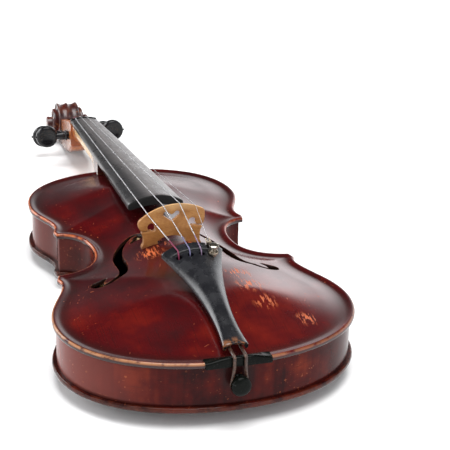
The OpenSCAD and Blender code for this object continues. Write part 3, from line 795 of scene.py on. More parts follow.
# ---------------------------------------------------------------- fingerboard, nut and saddle
def fingerboard(material):
    sections = []
    stations = [(board_y0, 1.2), (board_y0 + 0.35, 0.4), (board_y0 + 1.1, 0)]
    stations += [(y, 0) for y in np.linspace(board_y0 + 6, nut_y - 0.6, 48)] + [(nut_y, 0.2)]
    for y, shrink in stations:
        w = board_half(y) - shrink * 0.5
        under = neck_top(y)
        hollow = 3.0 * float(1 - ease((y - body_l + 40) / 30))
        upper = [(w * u, board_top(y) - float(drop(w * u)) - shrink - 0.45 * abs(u) ** 24)
                 for u in np.linspace(-1, 1, 33)]
        side = board_top(y) - float(drop(w)) - 0.45 - shrink
        right = [(w + 0.12, side - 0.5), (w, under + 0.5), (w - 0.5, under)]
        below = [(u * (w - 2.2), under + hollow * (1 - u * u)) for u in np.linspace(1, -1, 13)]
        sections.append(crosswise(upper + right + below + mirrored(right), y))
    return finish_piece(loft("fingerboard_ebony", sections), material, "fingerboard", angle=50)


nut_d = 5.5
GAUGE = [0.8, 0.7, 0.65, 0.3]
WIND_X = [-4.5, -2.5, 2.5, 4.5]
PEG_OF = ["g", "d", "a", "e"]
tail_silk_l = 24.0
peg_silk_l = 30.0


def nut_x(i):
    return spread_nut * (i / 3 - 0.5)


def bridge_x(i):
    return spread_bridge * (i / 3 - 0.5)


def string_nut_z(i):
    return board_top(nut_y) + 0.7 - float(drop(nut_x(i))) + GAUGE[i] / 4


def nut(material):
    sections = []
    w = board_w_nut / 2
    low = neck_top(nut_y)
    for x in np.linspace(-w, w, 97):
        end = max(0, abs(x) - w + 0.8) / 0.8
        top = board_top(nut_y) + 0.7 - float(drop(x)) - 0.5 * end ** 2
        for i in range(4):
            gap = abs(x - nut_x(i)) / (GAUGE[i] / 2 + 0.12)
            top -= (0.25 + GAUGE[i] * 0.3) * math.sqrt(max(0, 1 - gap * gap))
        ring = [(0.02, low), (0.02, top - 0.35), (0.35, top - 0.05), (1.2, top + 0.06), (2.6, top - 0.25),
                (4.2, top - 1.1), (nut_d - 0.3, top - 2.2), (nut_d, top - 3), (nut_d, low)]
        sections.append(lengthways([(nut_y + y, z) for y, z in ring], x))
    return finish_piece(loft("nut_ebony", sections), material, "nut", angle=50)


saddle_top = top_z + 2.4


def saddle(material):
    sections = []
    half = saddle_w / 2
    for x in np.linspace(-half, half, 61):
        rise = (saddle_top - top_z - 0.2) * float(1 - ease((abs(x) / half - 0.35) / 0.65))
        groove = 0.5 * math.exp(-((abs(x) - 3.8) / 1.2) ** 2)
        z = top_z + 0.2 + rise - groove
        sections.append(lengthways([(0.1, rib_z1), (-0.1, rib_z1 + 1), (-0.1, z - 1.3), (0.25, z - 0.45),
                                    (1.0, z - 0.05), (2.4, z), (3.6, z - 0.5), (saddle_d - 0.5, top_z + 0.35),
                                    (saddle_d, top_z - 0.3), (saddle_d, rib_z1)], x))
    return finish_piece(loft("saddle_ebony", sections), material, "saddle", angle=50)


# ---------------------------------------------------------------- bridge
bridge_t = 4.4
foot_in = 10.5
crown_x = 4.0


def crown(x):
    """Height of the bridge's top over the plane the violin rests on."""
    return bridge_z - float(drop(x - crown_x))


def round_hole(x, z, r, start, end, count=12):
    """Points round a circle, angles in degrees."""
    angles = np.radians(np.linspace(start, end, count))
    return [(x + r * math.cos(a), z + r * math.sin(a)) for a in angles]


def bridge_side(side):
    """Half of the bridge's outline, from the end of its crown down to the arch's middle."""
    def curve(*points, count=12):
        return [tuple(q) for q in bezier(list(points), np.linspace(0, 1, count)[1:])]

    def foot_z(x):
        return float(top_outer(np.array([x]), np.array([bridge_y]))[0]) + 0.05

    end = crown(24 * side)
    mid = 72.6 + side
    shoulder = curve((24, end), (25.2, end - 1.2), (25.3, end - 4), (24.4, mid - 0.6))
    upper_wing = [(23.6, mid - 2.0), (22.2, mid - 2.7), (19.5, mid - 2.5), (18.6, mid - 2.2)]
    kidney = round_hole(15.4, mid, 2.9, -28, 200, 18) + round_hole(14.0, mid - 1.7, 1.8, 190, 320, 8)
    lower_wing = [(17.0, mid - 3.2), (19.5, mid - 3.45), (22.2, mid - 3.7), (22.8, mid - 4.3),
                  (22.6, mid - 5.1)]
    low = foot_z(22)
    leg = curve(lower_wing[-1], (21.0, mid - 7), (20.6, low + 5), (21.7, low + 2.9))
    foot = [(22.2, low + 2.2), (22.5, low + 1.1), (22.4, foot_z(22.4))]
    foot += [(x, foot_z(x)) for x in np.linspace(22, foot_in, 14)]
    foot += [(10.3, foot_z(10.3) + 0.6), (10.9, foot_z(11) + 1.9)]
    arch = curve(foot[-1], (8.6, 62.4), (5, 63.8), (0, 63.9), count=14)
    return [(24, end)] + shoulder + upper_wing + kidney + lower_wing + leg + foot + arch


def bridge(material):
    loop = [(x, crown(x)) for x in np.linspace(-24, 24, 41)[1:-1]] + bridge_side(1)
    loop += mirrored(bridge_side(-1)[:-1])
    lobe = round_hole(4.1, bridge_z - 7.1, 2.1, 160, -75, 14) + [(3.2, bridge_z - 10.6), (0, bridge_z - 12.8)]
    heart = [(0, bridge_z - 7.6)] + lobe + mirrored(lobe[:-1])
    bevel = 0.32
    curve = bpy.data.curves.new("bridge", "CURVE")
    curve.dimensions = "2D"
    curve.fill_mode = "BOTH"
    curve.extrude = (bridge_t / 2 - bevel) * MM
    curve.bevel_depth = bevel * MM
    curve.bevel_resolution = 2
    curve.offset = -bevel * MM
    for points in (loop, heart):
        spline = curve.splines.new("POLY")
        spline.points.add(len(points) - 1)
        for point, (x, z) in zip(spline.points, points):
            point.co = (x * MM, (z - bridge_z) * MM, 0, 1)
        spline.use_cyclic_u = True
    source = new_object("bridge_curve", curve)
    mesh = evaluated_mesh(source)
    bpy.data.objects.remove(source)
    # Stand it up, thin it towards the top and lean its face back
    low = -(bridge_z - top_z - top_rise + 3)
    for vertex in mesh.vertices:
        x, z, y = vertex.co / MM
        t = min(1, max(0, (z - low) / -low))
        front = -bridge_t / 2 + 1.9 * float(ease((t - 0.3) / 0.75))
        back = bridge_t / 2 - t
        through = (y + bridge_t / 2) / bridge_t
        y = bridge_y + front + (back - front) * through
        vertex.co = (x * MM, (y + TAIL) * MM, (z + bridge_z) * MM)
    tidy_mesh(mesh)
    return finish_piece(new_object("bridge_maple", mesh), material, "bridge", angle=40)


# ---------------------------------------------------------------- tailpiece
tail_w = 44.0
tail_w_end = 17.0
tail_y0 = 9.0
tail_l = 106.0
tail_z0 = apex_z - 8.6
tail_tilt = math.radians(11)
tail_h = 8.5
tail_rim = 3.2
waist_v = 20.0
waist_half = 7.1
hole_v = tail_l - 10.5
hole_x = [-12, -4, 4, 12]
fret_r = 62.0


def tail_half(v):
    if v > waist_v:
        return waist_half + (tail_w / 2 - waist_half) * ((v - waist_v) / (tail_l - waist_v)) ** 1.85
    return waist_half + (tail_w_end / 2 - waist_half) * ((waist_v - v) / waist_v) ** 2


def tail_crest(v):
    return tail_h - 3 * (1 - float(ease(v / 60)))


def tail_roof(x, v=hole_v):
    flat = 1 - min(1, abs(x) / tail_half(v)) ** 2.2
    return tail_rim + (tail_crest(v) - tail_rim) * flat ** 0.8


def on_tail(x, v, w):
    """A point of the tailpiece's own frame: across, along it, above its underside."""
    return (x, tail_y0 + v * math.cos(tail_tilt) - w * math.sin(tail_tilt),
            tail_z0 + v * math.sin(tail_tilt) + w * math.cos(tail_tilt))


TAIL_UP = Vector((0, -math.sin(tail_tilt), math.cos(tail_tilt)))


def tail_end(x):
    """How far the bowed string end reaches."""
    return tail_l + 4 - fret_r + math.sqrt(fret_r ** 2 - x * x)


def tailpiece(material):
    sections = []
    for t in [0, 0.004, *np.linspace(0.014, 0.985, 64), 0.996, 1]:
        v = t * tail_l
        soft = 0.35 * (t in (0, 1))
        half = tail_half(v) - soft
        upper = [(-half * math.cos(a), tail_roof(half * math.cos(a), v) - soft)
                 for a in np.linspace(0.06, math.pi - 0.06, 33)]
        right = [(half, tail_rim - 0.25), (half, 0.5), (half - 0.35, 0)]
        hollow = 2.2 + (tail_crest(v) - 3.6) * float(1 - ease((v - 14) / 26))
        thin = half - 1.7
        below = [(thin * math.cos(a), hollow * math.sin(a) ** 0.8) for a in np.linspace(0, math.pi, 17)]
        ring = upper + right + below + mirrored(right)
        sections.append(np.array([on_tail(x, t * tail_end(x), w) for x, w in ring]))
    # A keyhole for each of three strings, and a round hole and an open notch for the tuner's
    slits = [(x, 2.2, 0.6, 0, 4.4) for x in hole_x[:3]] + [(hole_x[3], 2.3, 2.3, 6.9, 20)]
    cutters = []
    for x, r, half, v0, v1 in slits:
        cutters.append(rod("key", on_tail(x, hole_v, -3), on_tail(x, hole_v, 14), r))
        slit = rectangle(x - half, hole_v + v0, x + half, hole_v + v1)
        cutters.append(prism("slit", slit, -3, 14, on_tail))
    obj = combine(loft("tailpiece_black", sections), cutters)
    return finish_piece(obj, material, "tailpiece")


def tailpiece_fret(material):
    sections = []
    for x in np.linspace(-17, 17, 61):
        v = hole_v + 5.5 - fret_r + math.sqrt(fret_r ** 2 - x * x)
        top = tail_roof(x, v) + 1.1 - 0.5 * (abs(x) > 16.7)
        profile = [(-0.7, tail_rim - 1.2), (-0.7, top - 0.7), (-0.5, top - 0.2), (0, top),
                   (0.5, top - 0.2), (0.7, top - 0.7), (0.7, tail_rim - 1.2)]
        slope = x / fret_r
        sections.append(np.array([on_tail(x + dv * slope, v + dv, w) for dv, w in profile]))
    obj = loft("tailpiece_fret_bar", sections)
    return finish_piece(obj, material, "tailpiece_fret", angle=45)


gut_d = 2.2
gut_x = 3.8


def tailgut(material):
    strand = [(gut_x, 15, tail_z0 + 2.2), (gut_x, 10, tail_z0 + 1), (gut_x, 5.5, saddle_top + 1.6),
              (gut_x, 2, saddle_top + 1.4), (gut_x, -0.6, saddle_top + 0.8), (gut_x, -1.4, saddle_top - 0.6),
              (gut_x, -1.6, top_z - 4), (gut_x + 0.6, -1.4, button_z + 6)]
    ring = [(x, -0.9, z) for x, z in round_hole(0, button_z, 5.1, 10, -190, 11)]
    path = smooth_path(strand + ring + mirrored(strand), 0.8)
    bumps = 1 + 0.03 * np.sin(np.arange(len(path)) * 1.9)
    obj = tube("gut_loop", path, gut_d / 2 * bumps, 14)
    knot = [(0, -1.7), (1.1, -1.5), (1.6, -0.7), (1.65, 0.4), (1.2, 1.3), (0, 1.6)]
    knots = [lathe("knot", knot, (x, 16.2, tail_z0 + 2.8), (0, 1, 0.2), 20) for x in (-gut_x, gut_x)]
    return finish_piece(joined("tail_gut", [obj] + knots), material, "tailgut", angle=60)


def rounded(profile, times=2):
    """Corner-cutting: a softer version of an open line that keeps its ends."""
    line = np.asarray(profile, float)
    for _ in range(times):
        a, b = line[:-1], line[1:]
        mid = np.stack([0.75 * a + 0.25 * b, 0.25 * a + 0.75 * b], 1).reshape(-1, 2)
        line = np.vstack([line[:1], mid[1:-1], line[-1:]])
    return line


def end_button(material):
    profile = [(0, 0), (button_pin_r - 0.3, 0), (button_pin_r, 2), (button_pin_r, 16.9), (4.9, 17), (4.9, 18),
               (3.9, 18.6), (3.9, 22.2),
               (5.6, 22.5), (6.6, 23.2), (6.65, 24.6), (6.6, 26.0), (5.8, 27.1), (3.8, 27.8), (1.4, 27.98),
               (0, 27.98)]
    obj = lathe("end_button_turned", rounded(profile), (0, 20, button_z), (0, -1, 0), 64)
    return finish_piece(obj, material, "end_button", angle=50)


# ---------------------------------------------------------------- pegs and strings
# The head's rings from its middle out: share of its radius, half its thickness
PEG_HEAD = [(0.001, 2.5), (0.25, 2.6), (0.5, 2.9), (0.68, 3.3), (0.8, 3.45), (0.88, 3.3), (0.94, 2.7),
            (0.98, 1.7), (1.0, 0.0)]


def peg(name, node, material):
    side, y, z = PEGS[name]
    c = cheek(y)
    r = peg_d / 2
    shank = [(0, -c - 0.6), (r - 0.5, -c - 0.6), (r - 0.05, -c - 0.2), (r - 0.02, c + 1.4),
             (4.5, c + 1.8), (4.85, c + 2.3), (4.85, c + 3.0), (4.4, c + 3.5), (3.9, c + 3.9), (4.2, c + 5.2),
             (4.25, c + 6.5), (3.6, c + 9.5), (3.1, c + 12.5), (3.0, c + 16.5), (0, c + 16.5)]
    obj = lathe("peg_%s_black" % name, rounded(shank, 1), (0, y, z), (side, 0, 0), 40)
    # The head is a thick heart-shaped disc, hollowed a little on both faces
    angles = np.radians(np.arange(0, 360, 6))
    reach = peg_head_d / 2 * (1 - 0.1 * np.exp(-((angles - math.pi) / 0.7) ** 2))
    centre = c + 20.5
    discs = PEG_HEAD + [(k, -t) for k, t in PEG_HEAD[-2::-1]]
    disc_x, disc_z = side * reach * np.cos(angles), reach * np.sin(angles)
    head = loft("head", [crosswise(zip(side * centre + k * disc_x, z + k * disc_z), y - t) for k, t in discs])
    bead = [(0, -0.9), (1.0, -0.9), (1.1, -0.3), (0.85, 0.0), (1.0, 0.4), (1.05, 0.8), (0.8, 1.2),
            (0.4, 1.35), (0, 1.4)]
    tip = lathe("bead", rounded(bead, 1), (side * (centre + peg_head_d / 2 - 0.2), y, z), (side, 0, 0), 24)
    combine(obj, [head], "UNION")
    combine(obj, [tip], "UNION")
    return finish_piece(obj, material, node, body="peg_%s_body" % name, angle=50)


def touch(i):
    """Where the string from the nut meets the upper side of its winding."""
    _, py, pz = PEGS[PEG_OF[i]]
    ny, nz = nut_y + nut_d, string_nut_z(i) - 0.6
    vy, vz = py - ny, pz - nz
    r = peg_d / 2 + max(GAUGE[i], 0.5) + GAUGE[i] / 2 + 0.15
    length = math.hypot(vy, vz)
    a = math.atan2(vz, vy) + math.asin(r / length)
    run = math.sqrt(length ** 2 - r ** 2)
    return (WIND_X[i], ny + run * math.cos(a), nz + run * math.sin(a))


def top_of_bridge(i):
    x = bridge_x(i)
    return np.array([x, bridge_y + 0.4, crown(x) + GAUGE[i] / 2 + 0.03])


def straight(a, b, step):
    """Points from a towards b, about every step millimetres, without b."""
    count = max(2, int(np.linalg.norm(b - a) / step))
    return a + (b - a) * (np.arange(count) / count)[:, None]


def string(i, material, silk):
    """From the tailpiece or the tuner's hooks over bridge and nut to the peg; all but E end in silk."""
    r = GAUGE[i] / 2
    x = hole_x[i]
    roof = tail_roof(x)
    wound = i < 3
    if wound:
        start = smooth_path([on_tail(x, hole_v + 0.4, roof - 3.4), on_tail(x, hole_v + 1.3, roof - 1.2),
                             on_tail(x, hole_v + 2.6, roof + 0.7),
                             on_tail(x, hole_v + 5.2, tail_roof(x, hole_v + 5.5) + 1.3 + r)], 0.5)
    else:
        start = np.array([on_tail(x, hole_v + 13.2, roof + 2.7)])
    peak = top_of_bridge(i)
    over = peak + [(0, -1.2, -0.22), (0, -0.5, -0.02), (0, 0.3, 0.02), (0, 1.0, -0.06)]
    at_nut = np.array([(nut_x(i), nut_y + y, string_nut_z(i) + z)
                       for y, z in ((0.2, 0.1), (1.3, 0.12), (3, -0.1), (5, -0.75))])
    end = np.array(touch(i))
    path = np.vstack([start[:-1], straight(start[-1], over[0], 2), over[:-1],
                      straight(over[-1], at_nut[0], 6), at_nut[:-1], straight(at_nut[-1], end, 2), end])
    run = run_along(path)
    tail_silk = run < tail_silk_l
    peg_silk = run > run[-1] - peg_silk_l
    radius = np.full(len(path), r)
    if wound:
        radius[tail_silk] = r + 0.12
        radius[peg_silk] = r + 0.06
    obj = tube("string_%s_line" % PEG_OF[i], path, radius, 10)
    shaded(obj, 60)
    obj.data.materials.append(material)
    obj.data.materials.append(silk)
    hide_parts("string_%s" % PEG_OF[i])
    if wound:
        low = path[tail_silk][-1][1] + TAIL
        high = path[peg_silk][0][1] + TAIL
        for polygon in obj.data.polygons:
            polygon.material_index = int(not low <= polygon.center.y / MM <= high)
        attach(obj, "violin")
    else:
        a, b = (Vector(point) for point in to_frame([path[0], peak - [0, 4, 1]]))
        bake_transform(obj)
    return obj


def winding(i, material):
    """Turns of string side by side on the peg, ending in its hole."""
    name = PEG_OF[i]
    _, y, z = PEGS[name]
    d = max(GAUGE[i], 0.42)
    r = peg_d / 2 + d / 2 - 0.03
    per_turn, turns = 28, 4.5
    _, touch_y, touch_z = touch(i)
    first = math.atan2(touch_z - z, touch_y - y)
    direction = 1 if i < 2 else -1
    points = []
    for k in range(int(turns * per_turn) + 1):
        a = first - 2 * math.pi * k / per_turn
        x = WIND_X[i] - direction * k / per_turn * d * 1.03
        points.append((x, y + r * math.cos(a), z + r * math.sin(a)))
    x, py, pz = points[-1]
    points.append((x - direction * 0.3 * d, y + (py - y) * 0.7, z + (pz - z) * 0.7))
    obj = tube("winding_%s_turns" % name, points, d / 2, 8)
    return finish_piece(obj, material, "winding_%s" % name, body="peg_%s_body" % name, angle=60)


# ---------------------------------------------------------------- fine tuner
roof_e = tail_roof(hole_x[3])
pin_v = 7.0
pin_w = -roof_e - 3.6
pin_r = 0.6
lever_half = 1.8


def tuner_point(x, v, w):
    return on_tail(hole_x[3] + x, hole_v + v, roof_e + w)


def tuner_turned(name, profile, times=1, sides=40):
    return lathe(name, rounded(profile, times), tuner_point(0, 0, 0), TAIL_UP, sides)


def tuner_block(name, low, high, width=0.22):
    obj = prism(name, rectangle(*low[:2], *high[:2]), low[2], high[2], tuner_point)
    return bevelled(obj, width)


def tuner_grip(name, profile_at, sides):
    """A shape turned on the screw's axis, whose profile changes from one side to the next."""
    rows = []
    for k in range(sides):
        a = 2 * math.pi * k / sides
        rows.append([tuner_point(r * math.cos(a), r * math.sin(a), w) for r, w in profile_at(k)])
    faces = grid_faces(sides, len(rows[0]), wrap_rows=True, wrap_columns=True)
    return raw_object(name, np.vstack(rows), faces)


def tuner_bracket(material):
    foot = -roof_e - 1.4
    sleeve = tuner_turned("sleeve", [(1.32, foot), (2.05, foot), (2.25, foot + 0.3), (2.25, 2.7), (2.05, 3.0),
                                     (1.5, 3.0), (1.3, 2.8), (1.3, foot)], 0)
    plate = tuner_block("plate", (-2.7, -4, foot), (2.7, 8.3, foot + 1.3))
    combine(plate, [rod("bore", tuner_point(0, 0, foot - 2), tuner_point(0, 0, foot + 3), 1.5)])
    ears = [tuner_block("ear", (x - 0.3, pin_v - 1.3, pin_w - 1.3), (x + 0.3, pin_v + 1.3, foot + 0.6), 0.12)
            for x in (-2.4, 2.4)]
    bracket = joined("tuner_bracket_plate", [plate, sleeve] + ears)
    finish_piece(bracket, material, "tuner_bracket")


def tuner_ring_nut(material):
    def profile(k):
        rim = 3.5 - 0.09 * (k % 2)
        return [(2.28, 1.2), (3.35, 1.2), (rim, 1.35), (rim, 2.35), (3.3, 2.65), (2.75, 2.92), (2.35, 2.92),
                (2.28, 2.8)]

    finish_piece(tuner_grip("tuner_ring_nut", profile, 96), material, "tuner_nut", angle=30)


def tuner_screw(material):
    """The thread's turns on a core with plain ends."""
    pitch, per_turn = 0.45, 20
    low, high = 0.2, 6.2
    ridge = ((1.02, -0.2), (1.25, -0.03), (1.25, 0.03), (1.02, 0.2))
    rows = []
    for k in range(int((high - low) / pitch * per_turn) + 1):
        a = 2 * math.pi * k / per_turn
        w = low + pitch * k / per_turn
        rows.append(np.array([tuner_point(r * math.cos(a), r * math.sin(a), w + rise) for r, rise in ridge]))
    core = tuner_turned("core", [(0, -roof_e - 2.9), (0.45, -roof_e - 2.9), (1.22, -roof_e - 2.3), (1.22, 0),
                                 (1.06, low), (1.06, 6.4), (0, 6.4)], 0)
    obj = joined("tuner_screw_thread", [core, loft("thread", rows)])
    finish_piece(obj, material, "tuner_screw", body="tuner_screw_body")


def tuner_knob(material):
    """Knurled, with a rounded crown and a screwdriver slot."""
    sides, knurls = 72, 24

    def profile(k):
        grip = 0.16 * (0.5 + 0.5 * math.cos(2 * math.pi * k * knurls / sides))
        return [(1e-4, 6.2), (2.9, 6.2), (3.35 + grip, 6.45), (3.42 + grip, 7.1), (3.3 + grip, 7.6),
                (2.9, 7.9), (2.0, 8.02), (1e-4, 8.02)]

    head = tuner_grip("tuner_knob_head", profile, sides)
    combine(head, [prism("slot", rectangle(-4, -0.3, 4, 0.3), 7.45, 9, tuner_point)])
    finish_piece(head, material, "tuner_knob", body="tuner_knob_body", angle=40)


def tuner_lever(material):
    """Arm below the tailpiece, pivot barrel, riser and two hooks for the string's loop; and its pin."""
    arm = tuner_block("tuner_lever_hooks", (-lever_half, -2, pin_w - 0.5), (lever_half, 12, pin_w + 0.5))
    ends = [tuner_point(x, pin_v, pin_w) for x in (-lever_half, lever_half)]
    barrel = rod("barrel", *ends, 1.3)
    combine(arm, [barrel], "UNION")
    riser = tuner_block("riser", (-lever_half, pin_v + 3.8, pin_w - 0.5), (lever_half, pin_v + 5, 3.1))
    combine(arm, [riser], "UNION")
    for s in (-1, 1):
        hook = [tuner_point(s * x, pin_v + v, w)
                for x, v, w in ((1.2, 4.2, 2.5), (1.2, 6.2, 2.55), (1.25, 7.6, 2.75), (1.3, 8.3, 3.0))]
        combine(arm, [tube("hook", smooth_path(hook, 0.3), 0.55, 12)], "UNION")
    combine(arm, [rod("bore", tuner_point(-5, pin_v, pin_w), tuner_point(5, pin_v, pin_w), pin_r + 0.05)])
    finish_piece(arm, material, "tuner_lever", body="tuner_lever_body")
    profile = [(0, -2.75), (pin_r - 0.1, -2.75), (pin_r, -2.6), (pin_r, 2.6), (pin_r - 0.1, 2.75), (0, 2.75)]
    pin = lathe("tuner_pin_turned", profile, tuner_point(0, pin_v, pin_w), (1, 0, 0), 24)
    finish_piece(pin, material, "tuner_pin")


def fine_tuner(nickel, bright):
    tuner_bracket(nickel)
    tuner_ring_nut(nickel)
    tuner_screw(bright)
    tuner_knob(bright)
    tuner_lever(nickel)



# ---------------------------------------------------------------- materials
class Value:
    """A node's output that takes +, - and *."""

    def __init__(self, graph, socket):
        self.graph = graph
        self.socket = socket

    def __add__(self, other):
        return self.graph.maths("ADD", self, other)

    def __sub__(self, other):
        return self.graph.maths("SUBTRACT", self, other)

    def __rsub__(self, other):
        return self.graph.maths("SUBTRACT", other, self)

    def __mul__(self, other):
        return self.graph.maths("MULTIPLY", self, other)

    __radd__ = __add__
    __rmul__ = __mul__

    def capped(self):
        """The same sum or product, kept between 0 and 1."""
        self.socket.node.use_clamp = True
        return self


class Graph:
    """Short calls that add nodes to the node tree of a material or world."""

    def __init__(self, owner):
        owner.use_nodes = True
        self.nodes = owner.node_tree.nodes
        self.links = owner.node_tree.links

    def put(self, value, socket):
        if isinstance(value, Value):
            self.links.new(value.socket, socket)
        elif isinstance(value, tuple) and socket.type == "RGBA":
            socket.default_value = (*value, 1)
        else:
            socket.default_value = value

    def node(self, kind, inputs=(), output=0, **settings):
        """Adds a node; inputs holds the values of its first sockets, or of those it names."""
        node = self.nodes.new("ShaderNode" + kind)
        for name, setting in settings.items():
            setattr(node, name, setting)
        for key, value in inputs.items() if isinstance(inputs, dict) else enumerate(inputs):
            self.put(value, node.inputs[key])
        return Value(self, node.outputs[output])

    def maths(self, kind, a, b):
        return self.node("Math", (a, b), operation=kind)

    def vector(self, kind, a, b):
        return self.node("VectorMath", (a, b), "Value", operation=kind)

    def axis(self, which, place):
        return self.node("SeparateXYZ", (place,), "XYZ".index(which))

    def span(self, value, low, high, out_low=0.0, out_high=1.0):
        """Smooth step from out_low, where value is low, to out_high, where it is high."""
        return self.node("MapRange", (value, low, high, out_low, out_high), interpolation_type="SMOOTHSTEP")


class Shader(Graph):
    """A Principled material; positions are in metres on the object."""

    def __init__(self, name):
        self.material = bpy.data.materials.new(name)
        super().__init__(self.material)
        self.surface = self.nodes["Principled BSDF"]
        self.place = self.node("TexCoord", output="Object")

    def scaled(self, size, turn=0.0):
        """Positions turned about Z, then scaled by (x, y, z)."""
        turned = self.node("Mapping", {"Vector": self.place, "Rotation": (0, 0, math.radians(turn))})
        return self.node("Mapping", {"Vector": turned, "Scale": size})

    def noise(self, size, detail=3.0, rough=0.5, turn=0.0, warp=0.0):
        """Noise whose features are about 1/size metres; size is one number or (x, y, z)."""
        size = size if isinstance(size, tuple) else (size, size, size)
        return self.node("TexNoise", {"Vector": self.scaled(size, turn), "Scale": 1.0, "Detail": detail,
                                      "Roughness": rough, "Distortion": warp}, "Fac")

    def bands(self, lines, warp):
        """Fine bands across the violin's length, as of wound wire or thread."""
        return self.node("TexWave", {"Vector": self.scaled((1, 1, 1)), "Scale": lines, "Distortion": warp},
                         "Fac", bands_direction="Y")

    def mix(self, factor, a, b):
        return self.node("Mix", {"Factor": factor, "A": a, "B": b}, "Result", data_type="RGBA")

    def ramp(self, value, stops):
        colour = self.node("ValToRGB", (value,), "Color")
        band = colour.socket.node.color_ramp.elements
        while len(band) < len(stops):
            band.new(0.5)
        for element, (at, tint) in zip(band, stops):
            element.position = at
            element.color = (*tint, 1)
        return colour

    def attribute(self, name):
        return self.node("Attribute", output="Fac", attribute_name=name)

    def along(self, which, low, high, out_low=0.0, out_high=1.0):
        """Smooth step between two places on an axis, given in the tail's millimetres."""
        start = TAIL if which == "Y" else 0
        place = self.axis(which, self.place)
        return self.span(place, (low + start) * MM, (high + start) * MM, out_low, out_high)

    def near(self, x, y, z, reach, soft=0.85):
        """1 round a point given in the tail's millimetres, falling to 0 at reach."""
        distance = self.vector("DISTANCE", self.place, (x * MM, (y + TAIL) * MM, z * MM))
        return self.span(distance, reach * MM, reach * MM * (1 - soft))

    def any_of(self, *masks):
        result = masks[0]
        for mask in masks[1:]:
            result = self.maths("MAXIMUM", result, mask)
        return result

    def spots(self, places):
        return self.any_of(*[self.near(*place) for place in places])

    def scratches(self, *sets):
        """Fine straight marks, for each set at its own angle to the body's length."""
        return self.any_of(*[self.span(self.noise((across, along, across), 2.0, 0.4, turn), low, high)
                             for across, along, turn, low, high in sets])

    def finish(self, colour, roughness, height=None, depth=0.0003, strength=1.0, **fixed):
        self.put(colour, self.surface.inputs["Base Color"])
        self.put(roughness, self.surface.inputs["Roughness"])
        if height is not None:
            bump = self.node("Bump", {"Strength": strength, "Distance": depth, "Height": height})
            self.put(bump, self.surface.inputs["Normal"])
        for name, number in fixed.items():
            self.put(number, self.surface.inputs[name.replace("_", " ")])
        return self.material


VARNISH = [(0.26, (0.014, 0.0015, 0.0025)), (0.42, (0.034, 0.0022, 0.0032)), (0.56, (0.062, 0.003, 0.0038)),
           (0.74, (0.135, 0.009, 0.005))]
BARE = (0.46, 0.10, 0.026)
TAN = (0.40, 0.18, 0.08)


def darker(colour, share=0.5):
    return tuple(share * c for c in colour)


def spruce_varnish():
    s = Shader("top_varnish")
    clouds = 0.72 * s.noise(13, 2) + 0.28 * s.noise(90, 5)
    red = s.spots([(-62, 52, 52, 46), (-88, 80, 48, 30), (-24, 146, 58, 26), (-66, 262, 50, 34),
                   (-30, 232, 56, 26), (-46, 156, 52, 20)])
    dark = s.spots([(-6, 60, 50, 55), (-30, 100, 55, 34), (-72, 120, 47, 24)])
    colour = s.ramp(clouds + 0.12 * red - 0.04 * dark, VARNISH)
    grain = s.noise((1100, 14, 200), 3, 0.6)
    colour = s.mix(s.span(grain, 0.52, 0.72, 0.0, 0.35), colour, (0.018, 0.004, 0.004))
    rim = s.attribute("rim")
    gutter = s.span(rim, 0.2, 0.5) * s.span(rim, 1.5, 0.8)
    colour = s.mix(0.45 * gutter, colour, (0.014, 0.006, 0.005))
    # The edge: painted shade on its lower half, worn above, most of all on the bass side
    high = s.along("Z", rib_z1 + 2.0, rib_z1 + 3.2)
    lip = s.span(rim, 0.19, 0.07)
    # Painted shade on the lower half of the edge, where it turns under towards the ribs
    colour = s.mix((lip * (0.8 - high)).capped(), colour, (0.02, 0.005, 0.004))
    worn = s.noise(140, 4, 0.6)
    edge_wear = (lip * high) * (s.span(worn, 0.30, 0.52) * s.along("X", 55, -20, 0.35, 0.95))
    f_edge = s.attribute("f_edge")
    f_wear = s.span(f_edge, 0.10, 0.03) * s.span(worn, 0.42, 0.62)
    worn_colour = s.mix(s.along("Y", 100, 150), TAN, (0.46, 0.12, 0.035))
    colour = s.mix(s.any_of(0.85 * edge_wear, 0.3 * f_wear), colour, worn_colour)
    # Chips and scratches down to the wood
    chip_zone = s.spots([(31, 104, 57, 13), (33, 84, 56, 14), (37, 62, 54, 12), (60, 42, 49, 10),
                         (-20, 155, 58, 14), (-8, 166, 60, 9), (14, 166, 60, 9)])
    chips = chip_zone * s.span(s.noise((430, 75, 430), 4, 0.62, 3), 0.515, 0.575)
    specks = s.span(s.noise(480, 1, 0.3), 0.75, 0.79)
    marks = s.scratches((900, 42, 18, 0.74, 0.78), (760, 34, -24, 0.75, 0.79), (1000, 60, 62, 0.76, 0.80))
    cluster = (s.span(s.noise(26, 2), 0.48, 0.64) + 0.6 * chip_zone).capped()
    bare = s.any_of(chips, s.any_of(marks, specks) * (0.6 * cluster))
    colour = s.mix(bare, colour, BARE)
    # The cut walls of the f-holes
    colour = s.mix(s.span(f_edge, 0.032, 0.012), colour, (0.016, 0.006, 0.004))
    rough = (s.span(clouds, 0.35, 0.7, 0.24, 0.15) + 0.3 * bare).capped()
    height = 0.35 * grain + 0.25 * s.noise(900, 2, 0.5) + 0.9 * s.noise(45, 1) - 0.5 * bare
    return s.finish(colour, rough, height, 0.00016, 0.4, Specular_IOR_Level=0.42)


